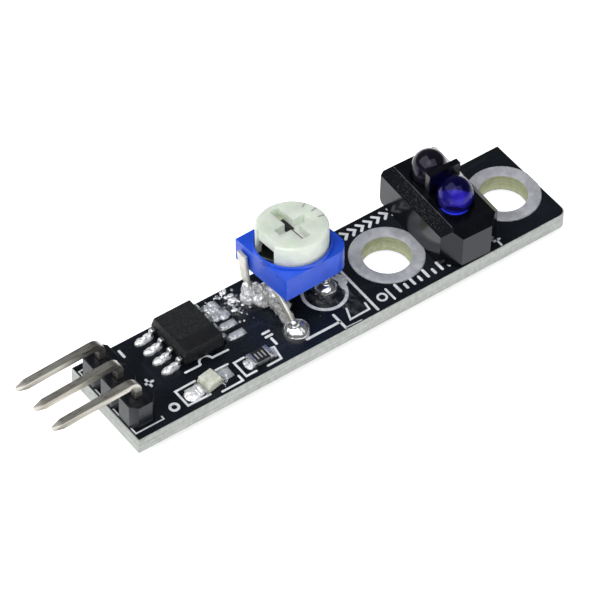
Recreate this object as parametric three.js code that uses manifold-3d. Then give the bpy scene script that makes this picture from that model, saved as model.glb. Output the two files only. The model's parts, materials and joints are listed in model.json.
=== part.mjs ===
// Line-tracking sensor module: a narrow black circuit board with a three-pin
// header, a comparator, a sensitivity trimmer and a reflective optical sensor.
// Millimetres. +X runs from the header end to the sensor end, +Y across the
// board, +Z up, away from the component side's board face.
import * as THREE from 'three';
import { ConvexGeometry } from 'three/addons/geometries/ConvexGeometry.js';
import * as BufferGeometryUtils from 'three/addons/utils/BufferGeometryUtils.js';
import Module from 'manifold-3d';

const wasm = await Module();
wasm.setup();

// ---- driving dimensions -------------------------------------------------

const BOARD_LENGTH = 43.65;
const BOARD_WIDTH = 9.5;
const BOARD_THICKNESS = 1.6;
const BOARD_MIDDLE = BOARD_WIDTH / 2;
const BOARD_CORNER_RADIUS = 0.7;
const UNDERSIDE = -BOARD_THICKNESS;
const STUB_LENGTH = 1.2;
const LOWEST = UNDERSIDE - STUB_LENGTH;

const SCREW_HOLE_RADIUS = 2.1;
const SCREW_RING_RADIUS = 3.2;
const SCREW_RING_THICKNESS = 0.06;
const SCREW_HOLE_X = [28.3, 40.55];

const PITCH = 2.54;
const PIN_SIZE = 0.64;
const PIN_X = 1.35;
const PIN_COUNT = 3;
const PIN_HOLE_RADIUS = 0.5;
const PIN_BEND_Z = 4.14;
const PIN_BEND_RADIUS = 0.85;
const PIN_TIP_X = -6.67;
const PIN_DROOP = THREE.MathUtils.degToRad(3.0);
const PIN_TAPER = 0.9;
const PIN_TAPER_SCALE = 0.45;

const HEADER_BLOCK_DEPTH = 2.45;
const HEADER_BLOCK_HEIGHT = 2.5;
const HEADER_BLOCK_NOTCH = 0.55;
const HEADER_BLOCK_HOLE = 0.7;

const CHIP_X = 9.45;
const CHIP_Y = 6.6;
const CHIP_LENGTH = 4.9;
const CHIP_WIDTH = 3.9;
const CHIP_STANDOFF = 0.15;
const CHIP_TOP = 1.6;
const CHIP_PARTING = 0.8;
const CHIP_DRAFT = 0.16;
const CHIP_PITCH = 1.27;
const CHIP_SPAN = 6.2;
const CHIP_LEAD_WIDTH = 0.42;
const CHIP_LEAD_THICKNESS = 0.2;
const CHIP_FOOT = 0.75;
const CHIP_MARK_RADIUS = 0.35;

const TRIMMER_X = 20.1;
const TRIMMER_Y = 6.95;
const TRIMMER_Z = 4.82;
const TRIMMER_LEAN_Y = THREE.MathUtils.degToRad(4.7);
const TRIMMER_LEAN_X = THREE.MathUtils.degToRad(1.8);
const TRIMMER_YAW = THREE.MathUtils.degToRad(2.5);
const TRIMMER_FRONT = 3.25;
const TRIMMER_BACK = 3.55;
const TRIMMER_HALF_WIDTH = 3.35;
const TRIMMER_BACK_RADIUS = 1.5;
const TRIMMER_HEIGHT = 2.4;
const TRIMMER_COLLAR_HEIGHT = 0.25;
const TRIMMER_FLOOR_TOP = 1.0;
const TRIMMER_FLOOR_BOTTOM = 1.4;
const TRIMMER_POCKET_RADIUS = 2.7;
const ROTOR_RADIUS = 3.05;
const ROTOR_TOP = 1.78;
const ROTOR_CHAMFER = 0.14;
const ROTOR_CLEARANCE = 0.1;
const ROTOR_HOLLOW_RADIUS = 2.5;
const ROTOR_HOLLOW_TOP = 0.4;
const ROTOR_NOTCH = [-1.15, 1.4];
const ROTOR_NOTCH_DEPTH = 0.6;
const ROTOR_MOUTH_DEPTH = 1.2;
const ROTOR_MOUTH_TOP = 0.65;
const ROTOR_STEM_RADIUS = 0.9;
const ROTOR_STEM_BOTTOM = -1.5;
const ROTOR_TURN = THREE.MathUtils.degToRad(105);
const ROTOR_KEY_HALF_ANGLE = THREE.MathUtils.degToRad(12);
const ROTOR_KEY_REACH = 1.55;
const STOP_SLACK = THREE.MathUtils.degToRad(1);
const DRIVE_SLOT = [-1.85, 2.35];
const DRIVE_CROSS_LENGTH = 3.1;
const DRIVE_SLOT_WIDTH = 0.85;
const DRIVE_SLOT_DEPTH = 0.75;
const DRIVE_WINDOW = [0.15, 1.7];
const DRIVE_SLIT_WIDTH = 0.5;
const DRIVE_WINDOW_DEPTH = 1.0;
const WIPER_RADIUS = 2.2;
const TRACK_RADIUS = 2.6;
const TRACK_THICKNESS = 0.3;
const TERMINAL_THICKNESS = 0.3;
const TERMINAL_WIDTH = 0.6;
const TERMINAL_NECK_Z = 0.5;
const TERMINAL_SHOULDER = 1.05;
const TRIMMER_PAD_NEAR_X = 17.0;
const TRIMMER_PAD_FAR_X = 16.45;
const TRIMMER_PAD_PITCH = 5.0;
const TRIMMER_PAD_NEAR_Y = 2.2;
const TRIMMER_WIPER_PAD_X = 21.95;
const TRIMMER_HOLE_RADIUS = 0.55;

const SENSOR_X = 34.22;
const SENSOR_Y = 5.15;
const SENSOR_YAW = THREE.MathUtils.degToRad(-2);
const SENSOR_WIDTH = 5.8;
const SENSOR_LENGTH = 10.1;
const SENSOR_BASE = 0.1;
const SENSOR_TOP = 4.2;
const SENSOR_SHOULDER = 3.2;
const SENSOR_SIDE_BEVEL = 0.9;
const SENSOR_END_BEVEL = 0.75;
const SENSOR_NEAR_CORNER = [1.45, 1.2];
const SENSOR_FAR_CORNER = [1.3, 0.3];
const SENSOR_FOOT_TAPER = [0.55, 0.9];
const LENS_RADIUS = 1.5;
const LENS_BASE = 0.5;
const LENS_DOME_Z = 5.1;
const LENS_SPACING = 3.7;
const LENS_CLEARANCE = 0.06;
const EMITTER_Y = -1.75;
const DETECTOR_Y = EMITTER_Y + LENS_SPACING;
const DIVIDER_LENGTH = 3.1;
const DIVIDER_THICKNESS = 0.6;
const DIVIDER_TOP = 6.45;
const SENSOR_LEAD_SIZE = 0.5;
const SENSOR_LEAD_HOLE_RADIUS = 0.45;
const CLIP_X_OFFSET = 2.15;
const CLIP_THICKNESS = 0.7;
const CLIP_WIDTH = 1.4;
const CLIP_BARB = 0.35;
const CLIP_SLOT_CLEARANCE = 0.15;

const LED_X = 8.1;
const LED_Y = 1.65;
const LED_YAW = THREE.MathUtils.degToRad(9);
const LED_LENGTH = 2.1;
const LED_WIDTH = 1.5;
const LED_BASE = 0.3;
const LED_TOP = 0.92;
const LED_TERMINAL = 0.22;

const RESISTOR_X = 13.0;
const RESISTOR_Y = 1.5;
const RESISTOR_LENGTH = 2.0;
const RESISTOR_WIDTH = 1.25;
const RESISTOR_HEIGHT = 0.5;
const RESISTOR_CAP = 0.38;

const GAP = 0.05;
const FINE = 40;
const COARSE = 20;
const SHORT_ARC = 3;

// ---- materials ----------------------------------------------------------

function material(colour, roughness, metalness) {
  return new THREE.MeshStandardMaterial({ color: colour, roughness, metalness });
}

const solderMask = () => material(0x0b0d10, 0.35, 0.0);
const tinnedCopper = () => material(0xb9b7ae, 0.45, 0.9);
const blackNylon = () => material(0x17181b, 0.6, 0.0);
const pinMetal = () => material(0xc9c2b2, 0.28, 1.0);
const epoxy = () => material(0x26272a, 0.7, 0.0);
const leadMetal = () => material(0xc4c6c8, 0.35, 1.0);
const bluePlastic = () => material(0x2b5be0, 0.4, 0.0);
const ivoryPlastic = () => material(0xdde6d8, 0.5, 0.0);
const bronze = () => material(0xb08a4a, 0.35, 1.0);
const ceramic = () => material(0xe9e6de, 0.6, 0.0);
const carbonTrack = () => material(0x1d1d20, 0.7, 0.0);
const sensorPlastic = () => material(0x121315, 0.55, 0.0);
const blueLens = () => material(0x1f2fd0, 0.08, 0.0);
const darkLens = () => material(0x0a0810, 0.08, 0.0);
const ledResin = () => material(0xe6ead2, 0.3, 0.0);
const resistorGlaze = () => material(0x1d1c1e, 0.35, 0.0);
const solder = () => material(0xcfd1d2, 0.25, 1.0);

// ---- geometry helpers ---------------------------------------------------

function toSolid(geometry) {
  const bare = new THREE.BufferGeometry();
  bare.setAttribute('position', geometry.getAttribute('position').clone());
  if (geometry.index) bare.setIndex(geometry.index.clone());
  const merged = BufferGeometryUtils.mergeVertices(bare, 1e-5);
  const vertProperties = new Float32Array(merged.getAttribute('position').array);
  const triVerts = new Uint32Array(merged.index.array);
  return new wasm.Manifold(new wasm.Mesh({ numProp: 3, vertProperties, triVerts }));
}

function toGeometry(solidBody) {
  const mesh = solidBody.getMesh();
  const geometry = new THREE.BufferGeometry();
  geometry.setAttribute('position', new THREE.BufferAttribute(mesh.vertProperties, 3));
  geometry.setIndex(new THREE.BufferAttribute(mesh.triVerts, 1));
  geometry.computeVertexNormals();
  return geometry;
}

function cut(base, ...tools) {
  return toGeometry(tools.reduce((body, tool) => body.subtract(toSolid(tool)), toSolid(base)));
}

function join(base, ...others) {
  return toGeometry(others.reduce((body, other) => body.add(toSolid(other)), toSolid(base)));
}

function overlapOf(base, other) {
  return toGeometry(toSolid(base).intersect(toSolid(other)));
}

// A block from its lowest to its highest corner.
function block(low, high) {
  const size = high.map((value, axis) => value - low[axis]);
  const geometry = new THREE.BoxGeometry(size[0], size[1], size[2]);
  return geometry.translate((low[0] + high[0]) / 2, (low[1] + high[1]) / 2, (low[2] + high[2]) / 2);
}

// An upright round bar.
function upright(radius, low, high, x, y, sides) {
  const geometry = new THREE.CylinderGeometry(radius, radius, high - low, sides);
  geometry.rotateX(Math.PI / 2);
  return geometry.translate(x, y, (low + high) / 2);
}

// A flat outline in XY, raised from low to high.
function plate(shape, low, high, curveSegments = COARSE) {
  const options = { depth: high - low, bevelEnabled: false, curveSegments };
  const geometry = new THREE.ExtrudeGeometry(shape, options);
  return geometry.translate(0, 0, low);
}

function outline(points) {
  return new THREE.Shape(points.map(([x, y]) => new THREE.Vector2(x, y)));
}

// A side outline drawn in XZ, given its thickness along Y.
function sidePlate(shape, low, high, curveSegments = 8) {
  const geometry = plate(shape, -high, -low, curveSegments);
  return geometry.rotateX(Math.PI / 2);
}

// A front outline drawn in YZ, given its thickness along X.
function frontPlate(shape, low, high) {
  const geometry = plate(shape, low, high);
  geometry.rotateX(Math.PI / 2);
  return geometry.rotateZ(Math.PI / 2);
}

// A turned piece about +Z from a profile of radius and height pairs.
function turned(profile, sides) {
  const points = profile.map(([radius, height]) => new THREE.Vector2(radius, height));
  return new THREE.LatheGeometry(points, sides).rotateX(Math.PI / 2);
}

function corners(xHalf, yHalf, z) {
  const signs = [[-1, -1], [1, -1], [1, 1], [-1, 1]];
  return signs.map(([sx, sy]) => new THREE.Vector3(sx * xHalf, sy * yHalf, z));
}

const assembly = new THREE.Group();

const sensor = new THREE.Group();
sensor.position.set(SENSOR_X, SENSOR_Y, 0);
sensor.rotation.z = SENSOR_YAW;
assembly.add(sensor);

function piece(name, geometry, look, parent = assembly) {
  const mesh = new THREE.Mesh(geometry, look);
  mesh.name = name;
  parent.add(mesh);
  return mesh;
}

// ---- circuit board ------------------------------------------------------

function pinY(index) {
  return BOARD_MIDDLE + (index - (PIN_COUNT - 1) / 2) * PITCH;
}

function trimmerPads() {
  return [
    [TRIMMER_PAD_NEAR_X, TRIMMER_PAD_NEAR_Y],
    [TRIMMER_PAD_FAR_X, TRIMMER_PAD_NEAR_Y + TRIMMER_PAD_PITCH],
    [TRIMMER_WIPER_PAD_X, TRIMMER_PAD_NEAR_Y + TRIMMER_PAD_PITCH / 2],
  ];
}

// Lead places in the sensor's own frame, whose origin is its middle.
function sensorLeads() {
  const places = [];
  for (const y of [EMITTER_Y, DETECTOR_Y]) {
    for (const side of [-1, 1]) places.push([side * PITCH / 2, y]);
  }
  return places;
}

function onSensor(geometry) {
  return geometry.rotateZ(SENSOR_YAW).translate(SENSOR_X, SENSOR_Y, 0);
}

function boardOutline() {
  const shape = new THREE.Shape();
  shape.moveTo(0, 0);
  shape.lineTo(BOARD_LENGTH - BOARD_CORNER_RADIUS, 0);
  shape.quadraticCurveTo(BOARD_LENGTH, 0, BOARD_LENGTH, BOARD_CORNER_RADIUS);
  shape.lineTo(BOARD_LENGTH, BOARD_WIDTH);
  shape.lineTo(0, BOARD_WIDTH);
  shape.closePath();
  return shape;
}

function hole(radius, x, y, sides) {
  return upright(radius, UNDERSIDE - 1, 1, x, y, sides);
}

function makeBoard() {
  const tools = SCREW_HOLE_X.map((x) => hole(SCREW_HOLE_RADIUS, x, BOARD_MIDDLE, FINE));
  for (let i = 0; i < PIN_COUNT; i += 1) tools.push(hole(PIN_HOLE_RADIUS, PIN_X, pinY(i), COARSE));
  for (const [x, y] of trimmerPads()) tools.push(hole(TRIMMER_HOLE_RADIUS, x, y, COARSE));
  for (const [x, y] of sensorLeads()) tools.push(onSensor(hole(SENSOR_LEAD_HOLE_RADIUS, x, y, COARSE)));
  const reach = CLIP_THICKNESS / 2 + CLIP_SLOT_CLEARANCE;
  const halfSlot = CLIP_WIDTH / 2 + CLIP_SLOT_CLEARANCE;
  for (const x of [-CLIP_X_OFFSET, CLIP_X_OFFSET]) {
    const slot = block([x - reach, -halfSlot, UNDERSIDE - 1], [x + reach, halfSlot, 1]);
    tools.push(onSensor(slot));
  }
  piece('circuit_board', cut(plate(boardOutline(), UNDERSIDE, 0), ...tools), solderMask());
}

// Flat tinned washers of copper on both faces, trimmed by the board's end.
function makeScrewRings() {
  const names = ['middle', 'end'];
  SCREW_HOLE_X.forEach((x, index) => {
    const faces = [['top', 0, SCREW_RING_THICKNESS], ['bottom', UNDERSIDE - SCREW_RING_THICKNESS, UNDERSIDE]];
    for (const [face, low, high] of faces) {
      const disc = upright(SCREW_RING_RADIUS, low, high, x, BOARD_MIDDLE, FINE);
      const ring = cut(disc, upright(SCREW_HOLE_RADIUS, low - 1, high + 1, x, BOARD_MIDDLE, FINE));
      const inside = block([0, 0, low - 1], [BOARD_LENGTH, BOARD_WIDTH, high + 1]);
      piece(`screw_ring_${names[index]}_${face}`, overlapOf(ring, inside), tinnedCopper());
    }
  });
}

// ---- pin header ---------------------------------------------------------

// Three joined square segments with a V notch at every joint.
function headerBlockOutline() {
  const halfDepth = HEADER_BLOCK_DEPTH / 2;
  const left = PIN_X - halfDepth;
  const right = PIN_X + halfDepth;
  const points = [];
  for (let i = 0; i < PIN_COUNT; i += 1) {
    const low = pinY(i) - PITCH / 2;
    points.push([right - HEADER_BLOCK_NOTCH, low], [right, low + HEADER_BLOCK_NOTCH]);
    points.push([right, low + PITCH - HEADER_BLOCK_NOTCH]);
  }
  points.push([right - HEADER_BLOCK_NOTCH, pinY(PIN_COUNT - 1) + PITCH / 2]);
  for (let i = PIN_COUNT - 1; i >= 0; i -= 1) {
    const low = pinY(i) - PITCH / 2;
    points.push([left + HEADER_BLOCK_NOTCH, low + PITCH], [left, low + PITCH - HEADER_BLOCK_NOTCH]);
    points.push([left, low + HEADER_BLOCK_NOTCH]);
  }
  points.push([left + HEADER_BLOCK_NOTCH, pinY(0) - PITCH / 2]);
  return outline(points);
}

function makeHeaderBlock() {
  const half = HEADER_BLOCK_HOLE / 2;
  const tools = [];
  for (let i = 0; i < PIN_COUNT; i += 1) {
    const low = [PIN_X - half, pinY(i) - half, -1];
    tools.push(block(low, [PIN_X + half, pinY(i) + half, HEADER_BLOCK_HEIGHT + 1]));
  }
  const body = plate(headerBlockOutline(), 0, HEADER_BLOCK_HEIGHT);
  piece('header_block', cut(body, ...tools), blackNylon());
}

// Side outline of a bent square pin: straight up, round the bend, then out
// past the board's end with a slight droop and a tapered tip.
function pinOutline() {
  const half = PIN_SIZE / 2;
  const centre = new THREE.Vector2(PIN_X - PIN_BEND_RADIUS, PIN_BEND_Z - PIN_BEND_RADIUS);
  const outward = new THREE.Vector2(-Math.cos(PIN_DROOP), -Math.sin(PIN_DROOP));
  const normal = new THREE.Vector2(outward.y, -outward.x);
  const bendEnd = centre.clone().addScaledVector(normal, PIN_BEND_RADIUS);
  const run = (PIN_TIP_X - bendEnd.x) / outward.x;
  const at = (along, across) => bendEnd.clone()
    .addScaledVector(outward, along)
    .addScaledVector(normal, across);
  const shape = new THREE.Shape();
  const endAngle = Math.atan2(normal.y, normal.x);
  shape.moveTo(PIN_X + half, LOWEST);
  shape.lineTo(PIN_X + half, centre.y);
  shape.absarc(centre.x, centre.y, PIN_BEND_RADIUS + half, 0, endAngle, false);
  const tip = half * PIN_TAPER_SCALE;
  const end = [[run - PIN_TAPER, half], [run, tip], [run, -tip], [run - PIN_TAPER, -half]];
  for (const [along, across] of end) {
    shape.lineTo(at(along, across).x, at(along, across).y);
  }
  shape.absarc(centre.x, centre.y, PIN_BEND_RADIUS - half, endAngle, 0, true);
  shape.lineTo(PIN_X - half, LOWEST);
  shape.closePath();
  return shape;
}

// Narrows the tip across its width as well.
function taperTip(geometry, middle) {
  const position = geometry.getAttribute('position');
  for (let i = 0; i < position.count; i += 1) {
    if (position.getX(i) > PIN_TIP_X + PIN_TAPER / 2) continue;
    position.setY(i, middle + (position.getY(i) - middle) * PIN_TAPER_SCALE);
  }
  return geometry;
}

function makePins() {
  for (let i = 0; i < PIN_COUNT; i += 1) {
    const y = pinY(i);
    const bar = sidePlate(pinOutline(), y - PIN_SIZE / 2, y + PIN_SIZE / 2);
    piece(`header_pin_${i + 1}`, taperTip(bar, y), pinMetal());
  }
}

// A fillet of solder under the board, round a lead.
function underFillet(inner, outer, x, y) {
  const low = UNDERSIDE - STUB_LENGTH * 0.7;
  const profile = [
    [inner, low],
    [inner + 0.08, low],
    [inner + (outer - inner) * 0.35, UNDERSIDE - STUB_LENGTH * 0.35],
    [outer, UNDERSIDE - 0.06],
    [outer, UNDERSIDE],
    [inner, UNDERSIDE],
    [inner, low],
  ];
  return turned(profile, COARSE).translate(x, y, 0);
}

function makeUnderFillets() {
  for (let i = 0; i < PIN_COUNT; i += 1) {
    piece(`header_solder_${i + 1}`, underFillet(0.48, 0.95, PIN_X, pinY(i)), solder());
  }
  sensorLeads().forEach(([x, y], index) => {
    piece(`sensor_solder_${index + 1}`, underFillet(0.38, 0.85, x, y), solder(), sensor);
  });
}

// ---- comparator ---------------------------------------------------------

function makeChipBody() {
  const x = CHIP_WIDTH / 2;
  const y = CHIP_LENGTH / 2;
  const points = [
    ...corners(x - CHIP_DRAFT / 2, y - CHIP_DRAFT / 2, CHIP_STANDOFF),
    ...corners(x, y, CHIP_PARTING),
    ...corners(x - CHIP_DRAFT, y - CHIP_DRAFT, CHIP_TOP),
  ];
  const mark = upright(CHIP_MARK_RADIUS, CHIP_TOP - 0.08, CHIP_TOP + 1, -x + 0.85, -y + 0.85, COARSE);
  const body = cut(new ConvexGeometry(points), mark);
  piece('comparator_body', body.translate(CHIP_X, CHIP_Y, 0), epoxy());
}

// Gull-wing outline in XZ, reaching out along +X from the body's side.
function chipLeadOutline() {
  const start = CHIP_WIDTH / 2 + GAP;
  const end = CHIP_SPAN / 2;
  const heel = end - CHIP_FOOT;
  const t = CHIP_LEAD_THICKNESS;
  const top = CHIP_PARTING + t / 2;
  return outline([
    [start, top], [start, top - t], [heel - t - 0.08, top - t], [heel - t + 0.02, top - t - 0.12],
    [heel, 0.1], [heel + 0.1, 0], [end, 0], [end, t], [heel + 0.22, t], [heel + 0.17, t + 0.06],
    [heel + 0.05, top - 0.1], [heel - 0.08, top],
  ]);
}

function makeChipLeads() {
  for (let index = 0; index < 8; index += 1) {
    const row = index % 4;
    const left = index < 4;
    const y = CHIP_Y + (row - 1.5) * CHIP_PITCH;
    const lead = sidePlate(chipLeadOutline(), -CHIP_LEAD_WIDTH / 2, CHIP_LEAD_WIDTH / 2);
    const mesh = piece(`comparator_lead_${index + 1}`, lead, leadMetal());
    mesh.rotation.z = left ? Math.PI : 0;
    mesh.position.set(CHIP_X, y, 0);
  }
}

// ---- trimmer ------------------------------------------------------------

const trimmer = new THREE.Group();
trimmer.rotation.set(-TRIMMER_LEAN_Y, TRIMMER_LEAN_X, TRIMMER_YAW, 'YXZ');
trimmer.position.set(TRIMMER_X, TRIMMER_Y, TRIMMER_Z);
assembly.add(trimmer);

function trimmerOutline() {
  const r = TRIMMER_BACK_RADIUS;
  const shape = new THREE.Shape();
  shape.moveTo(-TRIMMER_FRONT, -TRIMMER_HALF_WIDTH);
  shape.lineTo(TRIMMER_BACK - r, -TRIMMER_HALF_WIDTH);
  shape.absarc(TRIMMER_BACK - r, -TRIMMER_HALF_WIDTH + r, r, -Math.PI / 2, 0, false);
  shape.absarc(TRIMMER_BACK - r, TRIMMER_HALF_WIDTH - r, r, 0, Math.PI / 2, false);
  shape.lineTo(-TRIMMER_FRONT, TRIMMER_HALF_WIDTH);
  shape.closePath();
  return shape;
}

// A sector with its middle towards -X, drawn from the axis.
function sector(radius, halfAngle) {
  const shape = new THREE.Shape();
  shape.moveTo(0, 0);
  shape.absarc(0, 0, radius, Math.PI - halfAngle, Math.PI + halfAngle, false);
  shape.closePath();
  return shape;
}

// Open-topped cup with a collar, a bore for the stem and a track pocket below.
function makeTrimmerHousing() {
  const wall = plate(trimmerOutline(), -TRIMMER_HEIGHT, -TRIMMER_COLLAR_HEIGHT);
  const collar = upright(TRIMMER_HALF_WIDTH, -TRIMMER_COLLAR_HEIGHT - 0.2, 0, 0, 0, FINE);
  const swept = ROTOR_TURN + ROTOR_KEY_HALF_ANGLE + STOP_SLACK;
  const reach = ROTOR_KEY_REACH + ROTOR_CLEARANCE;
  const housing = cut(
    join(wall, collar),
    upright(ROTOR_RADIUS + ROTOR_CLEARANCE, -TRIMMER_FLOOR_TOP, 1, 0, 0, FINE),
    upright(ROTOR_STEM_RADIUS + ROTOR_CLEARANCE, -2 * TRIMMER_HEIGHT, 1, 0, 0, FINE),
    upright(TRIMMER_POCKET_RADIUS, -2 * TRIMMER_HEIGHT, -TRIMMER_FLOOR_BOTTOM, 0, 0, FINE),
    plate(sector(reach, swept), -TRIMMER_HEIGHT, 1, FINE),
  );
  piece('trimmer_housing', housing, bluePlastic(), trimmer);
}

// Screwdriver dial: a chamfered cap, hollow under its disc, with a cross
// recess that opens into a window, a notch in its rim with a wider mouth below
// it, and a stop key.
function makeRotor() {
  const low = -TRIMMER_FLOOR_TOP + ROTOR_CLEARANCE;
  const disc = turned([
    [0, low],
    [ROTOR_RADIUS, low],
    [ROTOR_RADIUS, ROTOR_TOP - ROTOR_CHAMFER],
    [ROTOR_RADIUS - ROTOR_CHAMFER, ROTOR_TOP],
    [0, ROTOR_TOP],
  ], FINE);
  const cap = cut(disc, upright(ROTOR_HOLLOW_RADIUS, low - 1, ROTOR_HOLLOW_TOP, 0, 0, FINE));
  const stemTop = ROTOR_HOLLOW_TOP + 0.2;
  const stem = upright(ROTOR_STEM_RADIUS, ROTOR_STEM_BOTTOM, stemTop, 0, 0, FINE);
  const keyBottom = -TRIMMER_FLOOR_BOTTOM + ROTOR_CLEARANCE;
  const key = plate(sector(ROTOR_KEY_REACH, ROTOR_KEY_HALF_ANGLE), keyBottom, stemTop, SHORT_ARC);
  const half = DRIVE_SLOT_WIDTH / 2;
  const inner = half * 0.95;
  const floor = ROTOR_TOP - DRIVE_SLOT_DEPTH;
  const windowFloor = floor - DRIVE_WINDOW_DEPTH;
  const [slotLow, slotHigh] = DRIVE_SLOT;
  const [windowLow, windowHigh] = DRIVE_WINDOW;
  const [notchLow, notchHigh] = ROTOR_NOTCH;
  const above = ROTOR_TOP + 1;
  const reach = DRIVE_CROSS_LENGTH / 2;
  const tools = [
    block([-half, slotLow, floor], [half, slotHigh, above]),
    block([-reach, -half, floor], [reach, half, above]),
    block([-inner, windowLow, windowFloor], [inner, windowHigh, floor + 0.2]),
    block([-inner, slotLow + 0.15, windowFloor], [DRIVE_SLIT_WIDTH - inner, windowLow + 0.1, floor + 0.2]),
    block([-ROTOR_RADIUS - 1, notchLow, low - 1], [ROTOR_NOTCH_DEPTH - ROTOR_RADIUS, notchHigh, above]),
    block([-ROTOR_RADIUS - 1, notchLow, low - 1], [ROTOR_MOUTH_DEPTH - ROTOR_RADIUS, notchHigh, ROTOR_MOUTH_TOP]),
  ];
  piece('trimmer_rotor', cut(join(cap, stem, key), ...tools), ivoryPlastic(), trimmer);
}

// Bronze contact disc under the stem, with one finger bent down to the track.
function makeWiper() {
  const high = ROTOR_STEM_BOTTOM - GAP;
  const low = high - 0.15;
  const shape = new THREE.Shape();
  shape.absarc(0, 0, 1.2, 0, Math.PI * 2, false);
  const hub = plate(shape, low, high, FINE / 2);
  const arm = block([0.6, -0.4, low], [WIPER_RADIUS, 0.4, high]);
  const finger = block([WIPER_RADIUS - 0.3, -0.4, low - 0.25], [WIPER_RADIUS, 0.4, high]);
  piece('trimmer_wiper', join(hub, arm, finger), bronze(), trimmer);
}

function makeTrack() {
  const low = -TRIMMER_HEIGHT + GAP;
  const disc = upright(TRACK_RADIUS, low, low + TRACK_THICKNESS, 0, 0, FINE);
  const ring = cut(disc, upright(0.6, low - 1, low + 1, 0, 0, COARSE));
  piece('trimmer_track', ring, carbonTrack(), trimmer);
}

// Solder tags: two at the front that splay out to their pads, one behind.
function terminalOutline(topY, topZ, padY, kneeY, kneeZ) {
  const shoulder = TERMINAL_SHOULDER / 2;
  const half = TERMINAL_WIDTH / 2;
  return outline([
    [topY - shoulder, topZ], [kneeY - shoulder, kneeZ], [padY - half, TERMINAL_NECK_Z], [padY - half, LOWEST],
    [padY + half, LOWEST], [padY + half, TERMINAL_NECK_Z], [kneeY + shoulder, kneeZ + 0.3],
    [topY + shoulder, topZ - 0.3], [topY + shoulder, topZ],
  ]);
}

function terminals() {
  const [near, far, wiper] = trimmerPads();
  return [
    { name: 'near', x: near[0], y: near[1], shape: terminalOutline(4.75, 2.6, near[1], 3.3, 1.5) },
    { name: 'far', x: far[0], y: far[1], shape: terminalOutline(8.85, 3.9, far[1], 8.3, 1.1) },
    { name: 'wiper', x: wiper[0], y: wiper[1], shape: terminalOutline(5.6, 1.95, wiper[1], 5.1, 1.0) },
  ];
}

function makeTerminals() {
  for (const { name, x, shape } of terminals()) {
    const strip = frontPlate(shape, x - TERMINAL_THICKNESS / 2, x + TERMINAL_THICKNESS / 2);
    piece(`trimmer_terminal_${name}`, strip, leadMetal());
  }
}

// A domed bead of solder on the component side.
function bead(radius, height, x, y) {
  const profile = [[0, 0], [radius, 0]];
  const steps = 6;
  for (let i = 1; i < steps; i += 1) {
    const angle = (i / steps) * Math.PI / 2;
    profile.push([radius * Math.cos(angle), height * Math.sin(angle)]);
  }
  profile.push([0, height]);
  return turned(profile, COARSE).translate(x, y, 0);
}

function makeTrimmerBeads() {
  const sizes = { near: [1.2, 1.1], far: [1.1, 0.9], wiper: [1.0, 0.8] };
  for (const { name, x, y, shape } of terminals()) {
    const [radius, height] = sizes[name];
    const half = TERMINAL_THICKNESS / 2 + GAP;
    const slot = frontPlate(shape, x - half, x + half);
    const widened = slot.translate(0, -y, 0).scale(1, 1.25, 1).translate(0, y, 0);
    piece(`trimmer_solder_${name}`, cut(bead(radius, height, x, y), widened), solder());
  }
}

// ---- reflective optical sensor ------------------------------------------

// Corners of a level section, drawn in at the sides and at each end.
function sensorSection(sideInset, nearInset, farInset, z) {
  const x = SENSOR_WIDTH / 2 - sideInset;
  const near = nearInset - SENSOR_LENGTH / 2;
  const far = SENSOR_LENGTH / 2 - farInset;
  return [[-x, near], [x, near], [x, far], [-x, far]].map(([px, py]) => new THREE.Vector3(px, py, z));
}

// Plan outline of the sensor body with its four upright corners cut off.
function sensorPlan() {
  const x = SENSOR_WIDTH / 2;
  const y = SENSOR_LENGTH / 2;
  const [nearX, nearY] = SENSOR_NEAR_CORNER;
  const [farX, farY] = SENSOR_FAR_CORNER;
  return outline([
    [nearX - x, -y], [x - nearX, -y], [x, nearY - y], [x, y - farY],
    [x - farX, y], [farX - x, y], [-x, y - farY], [-x, nearY - y],
  ]);
}

function clip(side) {
  const x = side * CLIP_X_OFFSET;
  const half = CLIP_THICKNESS / 2;
  const under = UNDERSIDE - GAP;
  const profile = outline([
    [x - side * half, 0.5], [x - side * half, LOWEST + 0.2], [x + side * half * 0.4, LOWEST + 0.2],
    [x + side * (half + CLIP_BARB), under - 0.35], [x + side * (half + CLIP_BARB), under],
    [x + side * half, under], [x + side * half, 0.5],
  ]);
  return sidePlate(profile, -CLIP_WIDTH / 2, CLIP_WIDTH / 2);
}

// A hipped block over the lenses' pockets, a divider between them and two clips.
function makeSensorHousing() {
  const [taperY, taperZ] = SENSOR_FOOT_TAPER;
  const hipped = new ConvexGeometry([
    ...sensorSection(0, 0, taperY, SENSOR_BASE),
    ...sensorSection(0, 0, 0, SENSOR_BASE + taperZ),
    ...sensorSection(0, 0, 0, SENSOR_SHOULDER),
    ...sensorSection(SENSOR_SIDE_BEVEL, SENSOR_END_BEVEL, SENSOR_END_BEVEL, SENSOR_TOP),
  ]);
  const shell = overlapOf(hipped, plate(sensorPlan(), SENSOR_BASE - 1, SENSOR_TOP + 1));
  const middle = EMITTER_Y + LENS_SPACING / 2;
  const divider = block(
    [-DIVIDER_LENGTH / 2, middle - DIVIDER_THICKNESS / 2, SENSOR_TOP - 0.5],
    [DIVIDER_LENGTH / 2, middle + DIVIDER_THICKNESS / 2, DIVIDER_TOP],
  );
  const pockets = [EMITTER_Y, DETECTOR_Y].map((y) => (
    upright(LENS_RADIUS + LENS_CLEARANCE, -1, DIVIDER_TOP + 1, 0, y, FINE)
  ));
  const body = cut(join(shell, divider, clip(-1), clip(1)), ...pockets);
  piece('sensor_housing', body, sensorPlastic(), sensor);
}

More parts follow.
